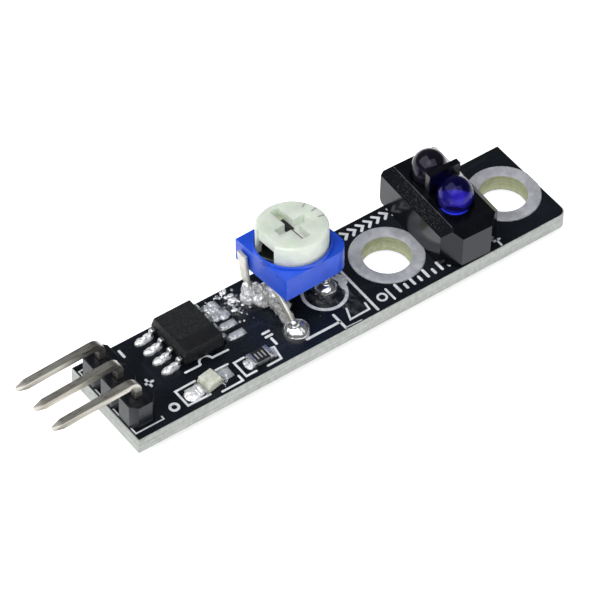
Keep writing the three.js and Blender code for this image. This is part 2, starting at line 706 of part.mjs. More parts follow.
function makeLens(name, y, look) {
  const profile = [[0, LENS_BASE], [LENS_RADIUS, LENS_BASE], [LENS_RADIUS, LENS_DOME_Z]];
  const steps = 9;
  for (let i = 1; i < steps; i += 1) {
    const angle = (i / steps) * Math.PI / 2;
    profile.push([LENS_RADIUS * Math.cos(angle), LENS_DOME_Z + LENS_RADIUS * Math.sin(angle)]);
  }
  profile.push([0, LENS_DOME_Z + LENS_RADIUS]);
  piece(name, turned(profile, FINE).translate(0, y, 0), look, sensor);
}

function makeSensorLeads() {
  const half = SENSOR_LEAD_SIZE / 2;
  sensorLeads().forEach(([x, y], index) => {
    const bar = block([x - half, y - half, LOWEST], [x + half, y + half, LENS_BASE - GAP]);
    piece(`sensor_lead_${index + 1}`, bar, leadMetal(), sensor);
  });
}

// ---- indicator light and resistor ---------------------------------------

// A fillet of solder against the end of a chip part, on its outer side.
function endFillet(endX, side, width, height) {
  const reach = 0.85;
  const mound = bead(1, 1, 0, 0).scale(reach, width / 2, height);
  const away = block([-2, -2, -1], [GAP, 2, 2]);
  const fillet = cut(mound, away);
  if (side < 0) fillet.rotateZ(Math.PI);
  return fillet.translate(endX, 0, 0);
}

function makeIndicator() {
  const light = new THREE.Group();
  light.position.set(LED_X, LED_Y, 0);
  light.rotation.z = LED_YAW;
  assembly.add(light);
  const half = LED_LENGTH / 2;
  const inner = half - LED_TERMINAL;
  const side = LED_WIDTH / 2;
  const plateBody = block([-inner + GAP, -side, GAP], [inner - GAP, side, LED_BASE]);
  piece('indicator_base', plateBody, ceramic(), light);
  const resin = new ConvexGeometry([
    ...corners(inner - GAP, side - 0.02, LED_BASE + GAP),
    ...corners(inner - 0.16, side - 0.12, LED_TOP),
  ]);
  piece('indicator_lens', resin, ledResin(), light);
  [-1, 1].forEach((end, index) => {
    const low = Math.min(end * inner, end * half);
    const terminal = block([low, -side, GAP], [low + LED_TERMINAL, side, LED_BASE + 0.1]);
    piece(`indicator_terminal_${index + 1}`, terminal, leadMetal(), light);
    piece(`indicator_solder_${index + 1}`, endFillet(end * half, end, LED_WIDTH, 0.42), solder(), light);
  });
}

function makeResistor() {
  const place = new THREE.Group();
  place.position.set(RESISTOR_X, RESISTOR_Y, 0);
  assembly.add(place);
  const half = RESISTOR_LENGTH / 2;
  const inner = half - RESISTOR_CAP;
  const side = RESISTOR_WIDTH / 2;
  const body = block([-inner, -side, 0.03], [inner, side, RESISTOR_HEIGHT]);
  piece('resistor_body', body, resistorGlaze(), place);
  [-1, 1].forEach((end, index) => {
    const low = end < 0 ? -half : inner + 0.01;
    const capEnd = [low + RESISTOR_CAP - 0.01, side + 0.02, RESISTOR_HEIGHT + 0.03];
    const cap = block([low, -side - 0.02, 0], capEnd);
    piece(`resistor_cap_${index + 1}`, cap, leadMetal(), place);
    piece(`resistor_solder_${index + 1}`, endFillet(end * half, end, RESISTOR_WIDTH, 0.4), solder(), place);
  });
}

// ---- assembly -----------------------------------------------------------

makeBoard();
makeScrewRings();
makeHeaderBlock();
makePins();
makeUnderFillets();
makeChipBody();
makeChipLeads();
makeTrimmerHousing();
makeRotor();
makeWiper();
makeTrack();
makeTerminals();
makeTrimmerBeads();
makeSensorHousing();
makeLens('emitter_lens', EMITTER_Y, blueLens());
makeLens('detector_lens', DETECTOR_Y, darkLens());
makeSensorLeads();
makeIndicator();
makeResistor();

// The origin is under the middle of the whole module, level with its lowest point.
assembly.updateMatrixWorld(true);
const extent = new THREE.Box3().setFromObject(assembly, true);
const middle = extent.getCenter(new THREE.Vector3());
assembly.position.set(-middle.x, -middle.y, -extent.min.z);

export default assembly;
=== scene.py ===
"""Looks for the line-tracking sensor module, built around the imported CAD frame."""
import json
import math
import random

import bmesh
import bpy
from mathutils import Matrix, Vector, noise


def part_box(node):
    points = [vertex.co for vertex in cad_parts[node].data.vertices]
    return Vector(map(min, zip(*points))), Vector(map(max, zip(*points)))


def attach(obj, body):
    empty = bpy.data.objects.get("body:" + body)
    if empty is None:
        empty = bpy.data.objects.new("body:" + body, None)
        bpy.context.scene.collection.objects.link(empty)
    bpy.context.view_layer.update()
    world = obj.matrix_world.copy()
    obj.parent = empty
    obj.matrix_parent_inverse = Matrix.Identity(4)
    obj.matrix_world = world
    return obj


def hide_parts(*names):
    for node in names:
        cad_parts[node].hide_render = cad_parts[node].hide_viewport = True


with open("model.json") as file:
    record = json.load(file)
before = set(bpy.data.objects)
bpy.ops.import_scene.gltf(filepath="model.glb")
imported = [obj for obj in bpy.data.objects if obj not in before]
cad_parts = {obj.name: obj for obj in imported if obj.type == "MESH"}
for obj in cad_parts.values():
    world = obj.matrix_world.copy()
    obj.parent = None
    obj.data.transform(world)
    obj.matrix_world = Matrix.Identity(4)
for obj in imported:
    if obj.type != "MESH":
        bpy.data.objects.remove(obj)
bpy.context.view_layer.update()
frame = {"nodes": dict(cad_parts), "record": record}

MM = 0.001
MODULE = "module"
DIAL = "trimmer_dial"
NODES = frame["nodes"]
BOARD_LOW, BOARD_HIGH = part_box("circuit_board")
BOARD_LENGTH = (BOARD_HIGH.x - BOARD_LOW.x) / MM
BOARD_WIDTH = (BOARD_HIGH.y - BOARD_LOW.y) / MM
BOARD_MIDDLE = BOARD_WIDTH / 2
UNDERSIDE = (BOARD_LOW.z - BOARD_HIGH.z) / MM


def at(x, y, z=0.0):
    """Board millimetres, from its near left corner and its top face, to the row frame."""
    return Vector((BOARD_LOW.x + x * MM, BOARD_LOW.y + y * MM, BOARD_HIGH.z + z * MM))


def limits_of(name):
    """A node's lowest and highest corners in board millimetres."""
    low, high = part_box(name)
    return (low - at(0, 0)) / MM, (high - at(0, 0)) / MM


def middle_of(name):
    """A node's middle in board millimetres."""
    low, high = limits_of(name)
    return (low + high) / 2


def frame_of(origin, along, upward):
    """A matrix from local millimetres to the row frame, for a frame with that X and Z."""
    z = upward.normalized()
    x = (along - z * along.dot(z)).normalized()
    turn = Matrix((x, z.cross(x), z)).transposed().to_4x4()
    return Matrix.Translation(origin) @ turn @ Matrix.Scale(MM, 4)


def sensor_frame():
    """Midway between the two lenses, with Y running from the emitter to the detector."""
    emitter, detector = middle_of("emitter_lens"), middle_of("detector_lens")
    middle = (emitter + detector) / 2
    across = detector - emitter
    return frame_of(at(middle.x, middle.y), Vector((across.y, -across.x, 0)), Vector((0, 0, 1)))


def dial_frame():
    """On the dial's axis, with X along the trimmer's own front-to-back line."""
    joint = frame["record"]["behaviour"]["joints"][0]
    along = Vector((math.cos(TRIMMER_YAW), math.sin(TRIMMER_YAW), 0))
    return frame_of(Vector(joint["pos_m"]), along, Vector(joint["axis"]))


UP = Vector((0, 0, 1))
TRIMMER_YAW = math.radians(2.5)
BOARD = frame_of(at(0, 0), Vector((1, 0, 0)), UP)
SENSOR = sensor_frame()
DIAL_TOP = dial_frame()


# ---- camera, lights and floor ---------------------------------------------------

CAMERA_AZIMUTH = math.radians(-37.48)
CAMERA_ELEVATION = math.radians(47.40)
CAMERA_ROLL = math.radians(1.64)
CAMERA_DISTANCE = 0.3556
CAMERA_LENS = 260.2
CAMERA_AIM = (20.0, 5.0, 0.0)
CAMERA_PAN = (-0.34 * MM, -0.324 * MM)
CAMERA_CLIP = (0.01, 5.0)
SKY_COLOUR = (0.92, 0.95, 1.0, 1.0)
SKY_STRENGTH = 0.13
FLOOR_REACH = 2.0


def away(azimuth, elevation):
    """The direction from the object towards a viewer there, in radians. Azimuth 0 is at -Y."""
    flat = math.cos(elevation)
    return Vector((math.sin(azimuth) * flat, -math.cos(azimuth) * flat, math.sin(elevation)))


def camera():
    """The photograph's viewpoint, solved from the board's corners, its bores and the pins."""
    back = away(CAMERA_AZIMUTH, CAMERA_ELEVATION)
    across = UP.cross(back).normalized()
    upward = back.cross(across)
    right = across * math.cos(CAMERA_ROLL) + upward * math.sin(CAMERA_ROLL)
    top = upward * math.cos(CAMERA_ROLL) - across * math.sin(CAMERA_ROLL)
    data = bpy.data.cameras.new("camera")
    data.lens = CAMERA_LENS
    data.clip_start, data.clip_end = CAMERA_CLIP
    obj = bpy.data.objects.new("camera", data)
    place = at(*CAMERA_AIM) + back * CAMERA_DISTANCE + right * CAMERA_PAN[0] + top * CAMERA_PAN[1]
    obj.matrix_world = Matrix.Translation(place) @ Matrix((right, top, back)).transposed().to_4x4()
    bpy.context.scene.collection.objects.link(obj)
    bpy.context.scene.camera = obj


def softbox(name, azimuth, elevation, distance, size, power):
    """A rectangular light that looks at the origin. Angles in degrees, lengths in metres."""
    direction = away(math.radians(azimuth), math.radians(elevation))
    data = bpy.data.lights.new(name, "AREA")
    data.shape = "RECTANGLE"
    data.size, data.size_y = size
    data.energy = power
    obj = bpy.data.objects.new(name, data)
    obj.location = direction * distance
    obj.rotation_mode = "QUATERNION"
    obj.rotation_quaternion = direction.to_track_quat("Z", "Y")
    bpy.context.scene.collection.objects.link(obj)


def studio():
    """A dim sky and two large soft lights."""
    world = bpy.data.worlds.new("studio")
    bpy.context.scene.world = world
    world.use_nodes = True
    background = world.node_tree.nodes["Background"]
    background.inputs["Color"].default_value = SKY_COLOUR
    background.inputs["Strength"].default_value = SKY_STRENGTH
    softbox("key", -100, 58, 0.42, (0.62, 0.48), 1.80)
    softbox("fill", -10, 62, 0.45, (0.50, 0.36), 0.80)
    bpy.context.scene.view_settings.view_transform = "Standard"


def floor():
    """A plain white card under the module."""
    mesh = bpy.data.meshes.new("floor")
    corners = rectangle(-FLOOR_REACH, -FLOOR_REACH, FLOOR_REACH, FLOOR_REACH)
    mesh.from_pydata([(x, y, 0) for x, y in corners], [], [(0, 1, 2, 3)])
    obj = bpy.data.objects.new("floor", mesh)
    bpy.context.scene.collection.objects.link(obj)
    card = textured("floor_card", (0.90, 0.90, 0.90), (0.94, 0.94, 0.94), (0.75, 0.85), 2.0, 0.0,
                    Emission_Color=(1.0, 1.0, 1.0), Emission_Strength=0.70)
    mesh.materials.append(card)


# ---- materials ------------------------------------------------------------------

def node(tree, kind, **values):
    """A new shader node with some of its properties set."""
    made = tree.nodes.new(kind)
    for key, value in values.items():
        setattr(made, key, value)
    return made


def plain(name, **sockets):
    """A Principled material with constant socket values. A colour is given as three numbers."""
    material = bpy.data.materials.new(name)
    material.use_nodes = True
    shader = material.node_tree.nodes["Principled BSDF"]
    for key, value in sockets.items():
        socket = shader.inputs[key.replace("_", " ")]
        socket.default_value = (*value, 1.0) if socket.type == "RGBA" else value
    return material, material.node_tree, shader


NOISE_ROUGHNESS = 0.55


def grain_of(tree, size, stretch=(1, 1, 1), detail=5.0, distortion=0.0):
    """Noise whose features are about size millimetres across."""
    place = node(tree, "ShaderNodeTexCoord")
    mapping = node(tree, "ShaderNodeMapping")
    mapping.inputs["Scale"].default_value = [s / (size * MM) for s in stretch]
    tree.links.new(place.outputs["Object"], mapping.inputs["Vector"])
    made = node(tree, "ShaderNodeTexNoise")
    made.inputs["Scale"].default_value = 1.0
    made.inputs["Detail"].default_value = detail
    made.inputs["Roughness"].default_value = NOISE_ROUGHNESS
    made.inputs["Distortion"].default_value = distortion
    tree.links.new(mapping.outputs["Vector"], made.inputs["Vector"])
    return made.outputs["Fac"]


def ramp(tree, factor, *stops):
    """A colour for each factor, from pairs of position and colour."""
    made = node(tree, "ShaderNodeValToRGB")
    elements = made.color_ramp.elements
    while len(elements) < len(stops):
        elements.new(0.5)
    for element, (position, colour) in zip(elements, stops):
        element.position = position
        element.color = (*colour, 1.0)
    tree.links.new(factor, made.inputs["Fac"])
    return made.outputs["Color"]


def spread(tree, factor, low, high, start=0.3, end=0.7):
    """The factor's range from start to end, stretched to go from low to high."""
    made = node(tree, "ShaderNodeMapRange")
    made.inputs["From Min"].default_value = start
    made.inputs["From Max"].default_value = end
    made.inputs["To Min"].default_value = low
    made.inputs["To Max"].default_value = high
    tree.links.new(factor, made.inputs["Value"])
    return made.outputs["Result"]


def relief_from(tree, shader, height, depth):
    """Fine bumps, depth millimetres high."""
    made = node(tree, "ShaderNodeBump")
    made.inputs["Strength"].default_value = 1.0
    made.inputs["Distance"].default_value = depth * MM
    tree.links.new(height, made.inputs["Height"])
    tree.links.new(made.outputs["Normal"], shader.inputs["Normal"])


def textured(name, dark, light, rough, grain, depth, stretch=(1, 1, 1), patch=None, **sockets):
    """Colour, roughness and fine relief that all vary over the surface. Sizes are in millimetres."""
    material, tree, shader = plain(name, **sockets)
    fine = grain_of(tree, grain, stretch)
    wide = grain_of(tree, patch or grain * 6, stretch, detail=2.0)
    tree.links.new(ramp(tree, wide, (0.32, dark), (0.68, light)), shader.inputs["Base Color"])
    tree.links.new(spread(tree, fine, rough[0], rough[1]), shader.inputs["Roughness"])
    if depth:
        relief_from(tree, shader, fine, depth)
    return material


def laminate(name, dark, middle, light):
    """Cut glass fibre laminate, with the plies showing as fine level lines."""
    material, tree, shader = plain(name, Specular_IOR_Level=0.3)
    plies = grain_of(tree, 0.13, (0.015, 0.015, 1.0), detail=3.0)
    blotches = grain_of(tree, 0.35, (1.0, 1.0, 0.6), detail=6.0)
    base = ramp(tree, plies, (0.34, dark), (0.5, middle), (0.66, light))
    mix = node(tree, "ShaderNodeMix", data_type="RGBA", blend_type="MULTIPLY")
    mix.inputs["Factor"].default_value = 0.6
    tree.links.new(base, mix.inputs["A"])
    tree.links.new(ramp(tree, blotches, (0.34, (0.66, 0.67, 0.62)), (0.6, (1, 1, 1))), mix.inputs["B"])
    height = node(tree, "ShaderNodeSeparateXYZ")
    tree.links.new(node(tree, "ShaderNodeTexCoord").outputs["Generated"], height.inputs["Vector"])
    # Darker towards the bottom and the top of the board's thickness.
    darker_at_top_and_bottom = ramp(tree, height.outputs["Z"],
                (0.0, (0.72,) * 3), (0.14, (1.0,) * 3), (0.55, (1.0,) * 3), (1.0, (0.66,) * 3))
    layered = node(tree, "ShaderNodeMix", data_type="RGBA", blend_type="MULTIPLY")
    layered.inputs["Factor"].default_value = 1.0
    tree.links.new(mix.outputs["Result"], layered.inputs["A"])
    tree.links.new(darker_at_top_and_bottom, layered.inputs["B"])
    tree.links.new(layered.outputs["Result"], shader.inputs["Base Color"])
    tree.links.new(spread(tree, blotches, 0.6, 0.85), shader.inputs["Roughness"])
    relief_from(tree, shader, plies, 0.006)
    return material


def resin(name, colour, clearness, haze, **sockets):
    """Polished tinted resin with faint flow marks in its colour. The haze is a range of roughness."""
    material, tree, shader = plain(name, IOR=1.45, Transmission_Weight=clearness, **sockets)
    flow = grain_of(tree, 1.4, detail=2.0)
    darker = tuple(c * 0.6 for c in colour)
    tree.links.new(ramp(tree, flow, (0.35, darker), (0.65, colour)), shader.inputs["Base Color"])
    tree.links.new(spread(tree, grain_of(tree, 0.5, detail=3.0), *haze), shader.inputs["Roughness"])
    return material


def film(name, dark, light, cover, size):
    """A dried smear that covers its surface in patches."""
    material, tree, shader = plain(name)
    streaks = grain_of(tree, size, (1.0, 0.45, 1.0), detail=6.0, distortion=1.2)
    tree.links.new(ramp(tree, streaks, (0.35, dark), (0.7, light)), shader.inputs["Base Color"])
    tree.links.new(spread(tree, streaks, *cover, 0.42, 0.72), shader.inputs["Alpha"])
    tree.links.new(spread(tree, streaks, 0.25, 0.6), shader.inputs["Roughness"])
    relief_from(tree, shader, streaks, 0.02)
    return material


LOOKS = {}


def make_board_looks():
    LOOKS["mask"] = textured("black_solder_mask", (0.003, 0.0045, 0.0075), (0.008, 0.011, 0.016),
                             (0.22, 0.36), 0.25, 0.003, patch=2.5, Specular_IOR_Level=0.28)
    LOOKS["track"] = textured("masked_track", (0.005, 0.0065, 0.010), (0.010, 0.013, 0.018),
                              (0.20, 0.34), 0.25, 0.003, patch=2.5, Specular_IOR_Level=0.36)
    LOOKS["fibre"] = laminate("fibre_edge", (0.40, 0.42, 0.40), (0.48, 0.50, 0.48), (0.55, 0.57, 0.55))
    LOOKS["bore"] = laminate("fibre_bore", (0.34, 0.35, 0.21), (0.42, 0.44, 0.27), (0.50, 0.52, 0.35))
    LOOKS["tin_ring"] = textured("tinned_ring", (0.44, 0.45, 0.49), (0.64, 0.65, 0.69),
                                 (0.38, 0.62), 0.14, 0.010, patch=0.8, Metallic=0.35)
    LOOKS["ink"] = textured("white_ink", (0.62, 0.64, 0.66), (0.82, 0.84, 0.86),
                            (0.5, 0.7), 0.10, 0.008, patch=0.5)
    LOOKS["grey_ink"] = textured("grey_ink", (0.30, 0.31, 0.31), (0.46, 0.47, 0.46),
                                 (0.5, 0.7), 0.10, 0.004)
    LOOKS["film"] = film("flux_film", (0.05, 0.05, 0.05), (0.36, 0.36, 0.36), (0.0, 0.36), 0.55)


def make_metal_looks():
    LOOKS["pin"] = textured("plated_pin", (0.40, 0.38, 0.33), (0.62, 0.60, 0.54),
                            (0.24, 0.42), 0.12, 0.004, (0.12, 1, 1), patch=0.9, Metallic=1.0)
    LOOKS["lead"] = textured("tin_plate", (0.55, 0.56, 0.56), (0.80, 0.80, 0.80),
                             (0.22, 0.42), 0.15, 0.004, patch=0.5, Metallic=1.0)
    LOOKS["tag"] = textured("tinned_tag", (0.58, 0.57, 0.50), (0.82, 0.81, 0.74),
                            (0.30, 0.5), 0.18, 0.006, patch=0.9, Metallic=0.55)
    LOOKS["bronze"] = textured("spring_bronze", (0.42, 0.27, 0.10), (0.60, 0.42, 0.20),
                               (0.25, 0.45), 0.2, 0.003, Metallic=1.0)
    LOOKS["solder"] = textured("bright_solder", (0.78, 0.79, 0.81), (0.98, 0.98, 0.99),
                               (0.18, 0.34), 0.35, 0.010, patch=0.5, Metallic=0.45)
    LOOKS["bead"] = textured("polished_solder", (0.62, 0.63, 0.64), (0.90, 0.90, 0.91),
                             (0.10, 0.24), 0.5, 0.008, patch=0.7, Metallic=0.92)
    LOOKS["pad"] = textured("flat_solder", (0.48, 0.50, 0.52), (0.80, 0.82, 0.84),
                            (0.20, 0.40), 0.35, 0.008, patch=0.4, Metallic=0.5)
    LOOKS["dull_solder"] = textured("dull_solder", (0.12, 0.125, 0.13), (0.50, 0.51, 0.52),
                                    (0.22, 0.45), 0.25, 0.012, patch=0.35, Metallic=0.7)
    LOOKS["die"] = textured("chip_die", (0.16, 0.16, 0.22), (0.45, 0.43, 0.50),
                            (0.2, 0.4), 0.05, 0.002, Metallic=1.0)


def make_plastic_looks():
    LOOKS["nylon"] = textured("black_nylon", (0.0025, 0.003, 0.005), (0.006, 0.007, 0.010),
                              (0.22, 0.36), 0.10, 0.005, Specular_IOR_Level=0.38,
                              Specular_Tint=(0.86, 0.92, 1.0))
    LOOKS["epoxy"] = textured("moulded_epoxy", (0.003, 0.004, 0.005), (0.022, 0.023, 0.024),
                              (0.34, 0.66), 0.09, 0.022, patch=0.16, Specular_IOR_Level=0.34)
    LOOKS["epoxy_band"] = textured("smooth_epoxy", (0.006, 0.006, 0.008), (0.011, 0.011, 0.013),
                                   (0.36, 0.46), 0.12, 0.003, Specular_IOR_Level=0.36)
    LOOKS["blue"] = textured("blue_plastic", (0.012, 0.075, 0.62), (0.020, 0.105, 0.76),
                             (0.26, 0.42), 0.35, 0.004, patch=1.6, Subsurface_Weight=0.15,
                             Subsurface_Radius=(0.0002, 0.0004, 0.001), Subsurface_Scale=1.0)
    LOOKS["ivory"] = textured("ivory_plastic", (0.66, 0.73, 0.63), (0.78, 0.84, 0.75),
                              (0.40, 0.55), 0.30, 0.004, patch=1.6, Subsurface_Weight=0.7,
                              Subsurface_Radius=(0.0010, 0.0012, 0.0009), Subsurface_Scale=1.0)
    LOOKS["stain"] = textured("stained_plastic", (0.36, 0.36, 0.22), (0.58, 0.60, 0.46),
                              (0.45, 0.65), 0.3, 0.004)
    LOOKS["carbon"] = textured("carbon_track", (0.008, 0.008, 0.009), (0.022, 0.021, 0.020),
                               (0.45, 0.7), 0.12, 0.006)
    LOOKS["ceramic"] = textured("white_ceramic", (0.50, 0.50, 0.42), (0.68, 0.68, 0.60),
                                (0.5, 0.7), 0.15, 0.005)
    LOOKS["shell"] = textured("sensor_plastic", (0.0014, 0.0016, 0.0026), (0.0032, 0.0036, 0.0055),
                              (0.10, 0.22), 0.14, 0.003, patch=1.2, IOR=1.40,
                              Specular_Tint=(0.86, 0.90, 1.0))
    LOOKS["worn_shell"] = textured("worn_plastic", (0.002, 0.002, 0.003), (0.020, 0.020, 0.025),
                                   (0.22, 0.50), 0.12, 0.01, patch=0.20, Specular_IOR_Level=0.4)
    # A lighter line along the sensor's ridge: painted highlight where the edge catches the light.
    LOOKS["ridge"] = textured("ridge_painted_highlight", (0.035, 0.035, 0.04), (0.16, 0.16, 0.18),
                              (0.3, 0.5), 0.2, 0.004)
    # Near-black sheets laid where there is only shade: painted shade.
    LOOKS["shade"] = textured("painted_shade_black", (0.0015, 0.0015, 0.002), (0.006, 0.006, 0.008),
                              (0.4, 0.6), 0.2, 0.004)
    LOOKS["substrate"] = textured("grey_ceramic", (0.10, 0.11, 0.11), (0.20, 0.21, 0.21),
                                  (0.4, 0.6), 0.12, 0.006)
    LOOKS["glaze"] = textured("resistor_glaze", (0.010, 0.010, 0.012), (0.022, 0.022, 0.025),
                              (0.22, 0.4), 0.12, 0.005)


def make_clear_looks():
    LOOKS["blue_lens"] = resin("blue_resin", (0.018, 0.012, 0.30), 0.90, (0.08, 0.14),
                               Specular_Tint=(0.40, 0.38, 1.0))
    # Resin that glows by its own emission: a painted blue glow where light gathers at the emitter's foot.
    LOOKS["painted_blue_glow"] = resin("blue_painted_glow", (0.03, 0.05, 1.0), 0.25, (0.10, 0.25),
                               Emission_Color=(0.02, 0.04, 0.9), Emission_Strength=0.16)
    LOOKS["dark_lens"] = resin("dark_resin", (0.012, 0.010, 0.020), 0.35, (0.10, 0.16),
                               Specular_Tint=(0.66, 0.66, 0.85))
    LOOKS["led_resin"] = textured("cloudy_resin", (0.50, 0.52, 0.43), (0.72, 0.74, 0.66),
                                  (0.22, 0.4), 0.25, 0.012, patch=0.5, Subsurface_Weight=0.6,
                                  Subsurface_Radius=(0.0005, 0.0006, 0.0003), Subsurface_Scale=1.0)
    LOOKS["flux"] = textured("flux_residue", (0.70, 0.71, 0.68), (0.96, 0.96, 0.95),
                             (0.03, 0.16), 0.35, 0.010, patch=0.6, Transmission_Weight=0.75, IOR=1.52)


# ---- geometry helpers, all in local millimetres ---------------------------------

def add_piece(name, mesh, look, place=BOARD, body=MODULE, smooth=True, stands_for=()):
    """Puts a mesh made in local millimetres where its frame is."""
    mesh.name = name
    mesh.transform(place)
    obj = bpy.data.objects.new(name, mesh)
    bpy.context.scene.collection.objects.link(obj)
    mesh.materials.clear()
    mesh.materials.append(LOOKS[look])
    for face in mesh.polygons:
        face.use_smooth = smooth
    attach(obj, body)
    if stands_for:
        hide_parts(*stands_for)
    return obj


TO_ROUND = []
WELD_DISTANCE = 2e-7
SHARP_ANGLE = math.radians(25.0)
FACE_WEIGHT = 80


def soften(obj, width, segments=2):
    """Notes a piece whose edges are rounded once every mesh has been made."""
    TO_ROUND.append((obj, width, segments))


def round_edges():
    """Small rounded edges, with flat faces kept flat."""
    for obj, width, segments in TO_ROUND:
        weld = obj.modifiers.new("weld", "WELD")
        weld.merge_threshold = WELD_DISTANCE
        rounding = obj.modifiers.new("rounding", "BEVEL")
        rounding.width = width * MM
        rounding.segments = segments
        rounding.limit_method = "ANGLE"
        rounding.angle_limit = SHARP_ANGLE
        rounding.miter_outer = "MITER_ARC"
        normals = obj.modifiers.new("normals", "WEIGHTED_NORMAL")
        normals.weight = FACE_WEIGHT


def refine(name, look, width, segments=2):
    """A CAD node that keeps its shape and gets a finish and softened edges."""
    obj = NODES[name]
    obj.data.materials.clear()
    obj.data.materials.append(LOOKS[look])
    for face in obj.data.polygons:
        face.use_smooth = True
    soften(obj, width, segments)


def arc(x, y, radius, start, end, steps):
    """Points along an arc between two angles in degrees."""
    angles = [math.radians(start + (end - start) * i / steps) for i in range(steps + 1)]
    return [(x + radius * math.cos(a), y + radius * math.sin(a)) for a in angles]


def circle(x, y, radius, steps=72):
    """Points round a circle, without a repeated last one."""
    return arc(x, y, radius, 0, 360, steps)[:-1]


def rectangle(low_x, low_y, high_x, high_y):
    """Its four corners, anticlockwise."""
    return [(low_x, low_y), (high_x, low_y), (high_x, high_y), (low_x, high_y)]


def to_other_frame(points, source, target):
    """Flat points of one frame as flat points of another."""
    change = target.inverted() @ source
    return [tuple((change @ Vector((x, y, 0)))[:2]) for x, y in points]


def mesh_from(name, made):
    """The mesh of a bmesh, which is then let go."""
    mesh = bpy.data.meshes.new(name)
    made.to_mesh(mesh)
    made.free()
    return mesh


def blob(made, place, detail):
    """Adds a unit icosphere, placed and scaled by a matrix."""
    bmesh.ops.create_icosphere(made, subdivisions=detail, radius=1.0, matrix=place)


def applied(name, data):
    """The mesh of a curve or of an object with modifiers, as a mesh of its own."""
    holder = data if isinstance(data, bpy.types.Object) else bpy.data.objects.new(name, data)
    bpy.context.scene.collection.objects.link(holder)
    bpy.context.view_layer.update()
    mesh = bpy.data.meshes.new_from_object(holder.evaluated_get(bpy.context.evaluated_depsgraph_get()))
    bpy.data.objects.remove(holder)
    return mesh


def plate_mesh(name, loops, low, high):
    """A flat plate between two heights. Loops inside the first one are holes."""
    curve = bpy.data.curves.new(name, "CURVE")
    curve.dimensions = "2D"
    curve.fill_mode = "BOTH"
    curve.extrude = (high - low) / 2
    for loop in loops:
        spline = curve.splines.new("POLY")
        spline.points.add(len(loop) - 1)
        for point, (x, y) in zip(spline.points, loop):
            point.co = (x, y, 0.0, 1.0)
        spline.use_cyclic_u = True
    mesh = applied(name, curve)
    mesh.transform(Matrix.Translation((0, 0, (low + high) / 2)))
    welded = bmesh.new()
    welded.from_mesh(mesh)
    bmesh.ops.remove_doubles(welded, verts=welded.verts, dist=SAME_POINT)
    bmesh.ops.recalc_face_normals(welded, faces=welded.faces)
    welded.to_mesh(mesh)
    welded.free()
    return mesh


SAME_POINT = 1e-4
CAP_STEPS = 5


def ribbon(points, width):
    """The outline of a line of that width with round ends, through the given points."""
    half = width / 2
    path = [Vector(p) for p in points]
    left, right = [], []
    for i, point in enumerate(path):
        before = (point - path[i - 1]).normalized() if i else (path[1] - point).normalized()
        after = (path[i + 1] - point).normalized() if i < len(path) - 1 else before
        direction = (before + after).normalized()
        side = Vector((-direction.y, direction.x))
        reach = half / max(0.5, side.dot(Vector((-after.y, after.x))))
        left.append(point + side * reach)
        right.append(point - side * reach)

    def cap(centre, start):
        """The points between one side and the other, round an end."""
        base = start - centre
        turns = (math.pi * k / CAP_STEPS for k in range(1, CAP_STEPS))
        return [centre + Vector((base.x * math.cos(t) + base.y * math.sin(t),
                                 base.y * math.cos(t) - base.x * math.sin(t))) for t in turns]

    outline = left + cap(path[-1], left[-1]) + right[::-1] + cap(path[0], right[0])
    return [(p.x, p.y) for p in outline]


def joined(name, meshes):
    """Several closed meshes as one."""
    whole = bmesh.new()
    for mesh in meshes:
        whole.from_mesh(mesh)
        bpy.data.meshes.remove(mesh)
    return mesh_from(name, whole)


def lines_mesh(name, lines, width, low, high):
    """Drawn lines of one width, each raised between two heights."""
    return joined(name, [plate_mesh(name, [ribbon(line, width)], low, high) for line in lines])


def turned_mesh(name, profile, x, y, steps):
    """A closed round mesh from radius and height pairs that start and end on the axis."""
    made = bmesh.new()
    rings = []
    for radius, height in profile:
        if not radius:
            rings.append([made.verts.new((x, y, height))])
            continue
        turns = [2 * math.pi * i / steps for i in range(steps)]
        rings.append([made.verts.new((x + radius * math.cos(t), y + radius * math.sin(t), height))
                      for t in turns])
    for lower, upper in zip(rings, rings[1:]):
        for i in range(steps):
            j = (i + 1) % steps
            corners = [lower[i % len(lower)], lower[j % len(lower)],
                       upper[j % len(upper)], upper[i % len(upper)]]
            unique = list(dict.fromkeys(corners))
            if len(unique) > 2:
                made.faces.new(unique)
    bmesh.ops.recalc_face_normals(made, faces=made.faces)
    return mesh_from(name, made)


SUNK = 0.02
SMOOTH_ROUNDS, SMOOTH_FACTOR = 6, 0.6
SHARD_CORNERS = 12


def lump_mesh(name, balls, voxel, seed, wobble, size):
    """Ellipsoids run together into one uneven bead. Each is x, y, z and three radii.

    The bead is cut off flat at SUNK below the board's top face.
    """
    made = bmesh.new()
    for x, y, z, rx, ry, rz in balls:
        blob(made, Matrix.Translation((x, y, z)) @ Matrix.Diagonal((rx, ry, rz, 1.0)), 3)
    holder = bpy.data.objects.new(name, mesh_from(name, made))
    remesh = holder.modifiers.new("remesh", "REMESH")
    remesh.mode = "VOXEL"
    remesh.voxel_size = voxel
    smooth = holder.modifiers.new("smooth", "SMOOTH")
    smooth.iterations = SMOOTH_ROUNDS
    smooth.factor = SMOOTH_FACTOR
    result = applied(name, holder)
    offset = Vector((seed * 7.3, seed * 3.1, seed * 5.7))
    for vertex in result.vertices:
        push = (noise.noise(vertex.co / size + offset)
                + 0.5 * noise.noise(vertex.co / size * 2.3 - offset))
        vertex.co += vertex.normal * push * wobble
        vertex.co.z = max(vertex.co.z, -SUNK)
    return result


